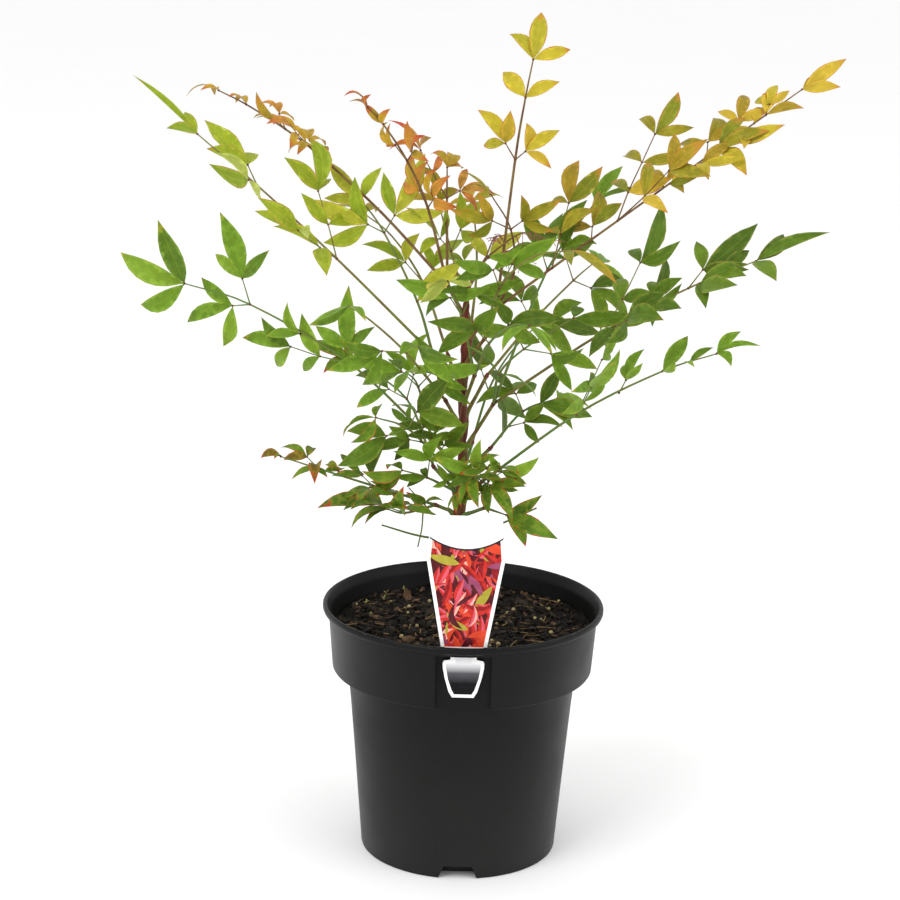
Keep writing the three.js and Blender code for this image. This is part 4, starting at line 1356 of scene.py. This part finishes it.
# Tints: the upper side's shades, the under side, rib, margin and tip, then how far along the
# tip's flush begins, how much a leaf bends and folds and how broad it grows, and the rest.
TINTS = {
    "gold": {
        "shades": [(0.49, 0.4, 0.024), (0.4, 0.355, 0.022), (0.53, 0.375, 0.03)],
        "under": (0.42, 0.31, 0.035), "rib": (0.52, 0.41, 0.05), "margin": (0.46, 0.16, 0.02),
        "tip": (0.52, 0.22, 0.02), "tip_from": 0.78, "bend": 0.85, "fold": 0.36, "breadth": 1.18,
        "mottled": 0.45,
    },
    "olive": {
        "shades": [(0.28, 0.245, 0.012), (0.36, 0.25, 0.016), (0.2, 0.22, 0.011)],
        "under": (0.36, 0.31, 0.045), "rib": (0.4, 0.36, 0.05), "margin": (0.38, 0.16, 0.02),
        "tip": (0.45, 0.2, 0.025), "tip_from": 0.72, "bend": 0.85, "fold": 0.4, "breadth": 0.98,
        "mottled": 0.6,
    },
    "bronze": {
        "shades": [(0.48, 0.3, 0.018), (0.4, 0.27, 0.02), (0.5, 0.225, 0.025)],
        "under": (0.46, 0.29, 0.06), "rib": (0.5, 0.32, 0.06), "margin": (0.42, 0.1, 0.02),
        "tip": (0.46, 0.12, 0.025), "tip_from": 0.62, "bend": 1.4, "fold": 0.4, "breadth": 1.04,
        "mottled": 0.6,
    },
    "coral": {
        "shades": [(0.5, 0.17, 0.03), (0.47, 0.24, 0.035), (0.45, 0.11, 0.025)],
        "under": (0.47, 0.26, 0.07), "rib": (0.5, 0.25, 0.07), "margin": (0.45, 0.07, 0.02),
        "tip": (0.44, 0.055, 0.02), "tip_from": 0.58, "bend": 1.35, "fold": 0.38, "breadth": 0.94,
    },
    "fresh": {
        "shades": [(0.29, 0.36, 0.016), (0.235, 0.325, 0.014), (0.4, 0.41, 0.028)],
        "under": (0.42, 0.48, 0.085), "rib": (0.4, 0.44, 0.06), "margin": (0.4, 0.22, 0.035),
        "tip": (0.38, 0.26, 0.03), "tip_from": 0.88, "bend": 0.6, "fold": 0.36, "breadth": 1.05,
        "mottled": 0.5, "shows_under": True,
    },
    "green": {
        "shades": [(0.143, 0.26, 0.014), (0.188, 0.31, 0.02), (0.096, 0.178, 0.01)],
        "under": (0.15, 0.25, 0.028), "rib": (0.19, 0.29, 0.02), "margin": (0.25, 0.31, 0.022),
        "tip": (0.4, 0.33, 0.025), "tip_from": 0.88, "bend": 0.75, "fold": 0.32, "breadth": 0.92,
        "edge": 0.45, "mottled": 0.65,
    },
    "deep": {
        "shades": [(0.087, 0.16, 0.0067), (0.114, 0.195, 0.0086), (0.065, 0.118, 0.0057)],
        "under": (0.125, 0.21, 0.026), "rib": (0.15, 0.24, 0.018), "margin": (0.21, 0.2, 0.02),
        "tip": (0.23, 0.16, 0.02), "tip_from": 0.93, "bend": 0.75, "fold": 0.24, "breadth": 1.12,
        "mottled": 0.6,
    },
    "aged": {
        "shades": [(0.115, 0.225, 0.012), (0.15, 0.26, 0.015), (0.085, 0.17, 0.01)],
        "under": (0.13, 0.225, 0.025), "rib": (0.18, 0.27, 0.02), "margin": (0.4, 0.05, 0.018),
        "tip": (0.4, 0.05, 0.016), "tip_from": 0.92, "bend": 1.0, "fold": 0.36, "breadth": 1.05,
        "tip_over": 0.1, "pale": (0.22, 0.29, 0.022), "edge": 0.425, "burnt": 0.1,
    },
    "curled": {
        "shades": [(0.11, 0.18, 0.009), (0.16, 0.21, 0.012), (0.19, 0.12, 0.014)],
        "under": (0.13, 0.22, 0.025), "rib": (0.18, 0.26, 0.02), "margin": (0.4, 0.05, 0.018),
        "tip": (0.42, 0.05, 0.016), "tip_from": 0.82, "bend": 1.5, "fold": 0.6, "breadth": 1.45,
        "tip_over": 0.1, "pale": (0.26, 0.28, 0.02), "edge": 0.41, "burnt": 0.45,
    },
}
# How large the leaves of a spray grow beside the rule's own size.
SMALLER = {
    "upper_left_tall": 0.84, "low_left_long": 0.85, "low_front_long": 0.88, "low_right_long": 0.82,
    "foot_front_left": 0.84, "foot_front_right": 0.84, "foot_right_up": 0.85, "upper_left_mid": 0.82,
    "upper_right_mid": 0.72, "front_up": 0.8, "front_long": 0.84, "front_left_long": 0.9,
    "front_right_long": 0.85, "back_long": 0.85, "back_up": 0.8, "back_left_long": 0.85,
    "back_right_long": 0.9, "low_back_long": 0.9, "left_near": 0.88, "lower_left_long": 0.9,
    "mid_right_near": 0.84, "mid_right_up": 0.86, "mid_right_long": 0.93, "upper_right_tall": 0.95,
}
# How much longer and wider a long spray's last leaf is, and how much larger the two beside it.
TIP_LEAVES = {
    "lower_right_long": (1, 0.5, 1), "mid_left_long": (1.38, 0.36, 1), "mid_right_long": (1.06, 0.6, 1),
    "upper_left_long": (1.3, 0.5, 1), "left_long": (1.1, 1.1, 1.3), "upper_right_long": (1, 0.8, 1.05),
    "lower_left_long": (0.75, 0.8, 0.7),
}
# A leaf's outline: how wide it is at shares of its length.
BLADE = [
    (0, 0.05), (0.04, 0.1), (0.1, 0.31), (0.2, 0.64), (0.33, 0.91), (0.46, 1),
    (0.6, 0.92), (0.74, 0.68), (0.87, 0.34), (0.95, 0.13), (1, 0.012),
]
BLADE_THICK = 0.34
LONGEST_LEAF = 37
# How far the leaves of an open spray turn to the light, how far to the front the light stands
# for them, and how broad they grow there.
OPEN_SPRAYS = {
    "left_long": (0.7, 2.6, 1.06), "mid_right_long": (0.65, 3, 0.94), "upper_right_long": (0.6, 2.5, 1.0),
    "upper_right_tall": (0.45, 1.4, 0.96), "lower_right_long": (0.55, 2, 1.1),
    "upper_left_long": (0.35, 1.2, 0.98), "mid_left_long": (0.5, 2, 1), "mid_left_up": (0.45, 1.5, 1),
    "lower_left_long": (0.5, 2, 0.9), "foot_right_low": (0.5, 1, 0.85), "foot_left_low": (0.5, 1.5, 0.9),
}
OTHER_SPRAYS = (0.35, 0.5, 1)
# Where the red margin begins, from the rib out, and how soon it is full; how soon the tip's flush is.
EDGE_FROM = 0.43
EDGE_OVER = 0.055
TIP_OVER = 0.24
# Side veins: waves along the leaf, and how far they slant to its edge.
VEINS_ALONG = 62
VEINS_SLANT = 46
BLADE_SIDES = 6
UNDER_SIDES = (4, 5)
UNDER_SKIN = 3
SHADE_ODDS = [0.5, 0.28, 0.22]
# The share of the way along a spray past which its leaves take the second tint, give or take.
SECOND_TINT_FROM = 0.52
SECOND_TINT_STRAY = 0.3


def leaf_finish(name, colour, tint, is_under=False):
    """A leaf's skin: a paler rib, raised veins, a fine coloured margin and a flushed tip."""
    finish, shader, place = new_finish(name, 0.5, 0.14)
    across = add_node(place.id_data, "SeparateXYZ", {}, {"Vector": place.node.outputs["UV"]})
    along = across.node.outputs["Y"]
    off = worked("ABSOLUTE", worked("SUBTRACT", across, 0.5))
    blotches = grain(place, 0.012)
    patches = grain(place, 0.0042)
    speckle = grain(place, 0.0011)
    mottled = tint.get("mottled", 1)
    light = tint.get("pale", tuple(min(1, 1.3 * part + 0.012) for part in colour))
    dark = tuple((1 - 0.42 * mottled) * part for part in colour)
    skin = tinted(spread(blotches, 0.34, 0.66), dark, colour)
    skin = tinted(spread(patches, 0.48, 0.68, 0, 0.7 * mottled), skin, light)
    rim = worked("ADD", off, spread(patches, 0.35, 0.65, -0.14, 0.14))
    skin = tinted(spread(rim, 0.26, 0.5, 0, 0.75), skin, light)
    skin = tinted(spread(speckle, 0.32, 0.5, 0.45, 0), skin, dark)
    if not is_under:
        flushed = worked("ADD", along, spread(blotches, 0.3, 0.7, -0.16, 0.16))
        flushed = worked("ADD", flushed, spread(patches, 0.3, 0.7, -0.1, 0.1))
        tip_full = tint["tip_from"] + tint.get("tip_over", TIP_OVER)
        skin = tinted(spread(flushed, tint["tip_from"], tip_full), skin, tint["tip"])
        skin = tinted(spread(patches, 0.6, 0.72, 0, tint.get("burnt", 0)), skin, tint["tip"])
        edge = worked("ADD", off, spread(patches, 0.3, 0.7, -0.05, 0.05))
        edge_from = tint.get("edge", EDGE_FROM)
        skin = tinted(spread(edge, edge_from, edge_from + EDGE_OVER), skin, tint["margin"])
    skin = tinted(spread(off, 0.008, 0.035, 0.45, 0), skin, tint["rib"])
    feed(shader, "Base Color", skin)
    feed(shader, "Roughness", spread(speckle, 0.3, 0.7, 0.42, 0.58))
    slant = worked("SUBTRACT", worked("MULTIPLY", along, VEINS_ALONG), worked("MULTIPLY", off, VEINS_SLANT))
    veins = worked("ADD", worked("MULTIPLY", worked("SINE", slant), 0.35), speckle)
    relief(shader, veins, 0.00022, 0.55)
    return finish


leaf_finishes = {}
for name, tint in TINTS.items():
    skins = []
    for index, shade in enumerate(tint["shades"]):
        skins.append(leaf_finish(f"leaf_{name}_{index + 1}", shade, tint))
    leaf_finishes[name] = skins + [leaf_finish(f"leaf_{name}_under", tint["under"], tint, True)]


def blade(leaf, tint, facing, forward, draw):
    """The points of one leaf, ring by ring, and where each is across and along it."""
    root, along, side, length, width = leaf
    outward = Vector((root.x - CANE_X, root.y, 0)).normalized()
    light = UP + 0.7 * outward - Vector((0, forward, 0))
    up = along.cross(side)
    if up.dot(light) < 0 and not tint.get("shows_under"):
        up = -up
    to_light = (light - light.dot(along) * along).normalized()
    toward = math.copysign(facing, up.dot(light))
    side = ((1 - facing) * up + toward * to_light).normalized().cross(along)
    half = 0.5 * width * tint["breadth"] * draw.uniform(0.92, 1.1)
    bend = tint["bend"] * draw.uniform(0.5, 1.4)
    fold = tint["fold"] * draw.uniform(0.5, 1.5)
    twist = draw.normal(0, 0.22)
    wave = draw.uniform(0.02, 0.09)
    phase = draw.uniform(0, FULL_TURN)
    sway = draw.normal(0, 0.07)
    points = []
    spots = []
    place = root.copy()
    before = 0
    for share, wide in BLADE:
        dip = bend * (share ** 1.4 - 0.35)
        up = along.cross(side)
        way = along * math.cos(dip) - up * math.sin(dip)
        place = place + way * (share - before) * length
        before = share
        turn = twist * (share - 0.3)
        across = side * math.cos(turn) + up * math.sin(turn)
        rise = way.cross(across).normalized()
        across = rise.cross(way)
        centre = place + across * sway * length * math.sin(math.pi * share)
        for off in (1, 0.5, 0, -0.5, -1):
            high = abs(off) * fold - 0.28 * fold * off * off
            high += wave * abs(off) * math.sin(11 * share + phase + off)
            points.append(centre + half * wide * (off * across + high * rise))
            spots.append((0.5 + 0.5 * off, share))
        points.append(centre - rise * BLADE_THICK * (0.3 + wide))
        spots.append((0.5, share))
    return points, spots


BLADE_FACES = tube_faces(len(BLADE), BLADE_SIDES)

for name, row in SPRAYS.items():
    grown = grown_sprays[name]
    seed, first_tint, last_tint = row[12:15]
    draw = np.random.default_rng(seed)
    leaflets = Heap()
    tints = [first_tint, last_tint] if first_tint != last_tint else [first_tint]
    skins = [skin for tint in tints for skin in leaf_finishes[tint]]
    size = SMALLER.get(name, 1)
    facing, forward, broad = OPEN_SPRAYS.get(name, OTHER_SPRAYS)
    for number, (root, along, side, length, width, share) in enumerate(grown.leaves):
        kind = 0
        if len(tints) > 1:
            kind = int(share + draw.uniform(-SECOND_TINT_STRAY, SECOND_TINT_STRAY) > SECOND_TINT_FROM)
        longer, wider, larger = TIP_LEAVES.get(name, (1, 1, 1))
        if number != grown.tip:
            longer = wider = larger if 0 < grown.tip - number <= 2 else 1
        fit = size if name in OPEN_SPRAYS else min(size, LONGEST_LEAF / length)
        leaf = (root, along, side, fit * longer * length, fit * wider * broad * width)
        points, spots = blade(leaf, TINTS[tints[kind]], facing, forward, draw)
        top = 4 * kind + int(draw.choice(3, p=SHADE_ODDS))
        slots = [top] * len(BLADE_FACES)
        for index in range(len(BLADE_FACES) - 2):
            if index % BLADE_SIDES in UNDER_SIDES:
                slots[index] = 4 * kind + UNDER_SKIN
        leaflets.add(points, BLADE_FACES, slots, spots)
    piece = leaflets.make("leaflets_" + name, skins)
    smooth_faces(piece, 60)
    place_piece(piece, "leaves_" + name)
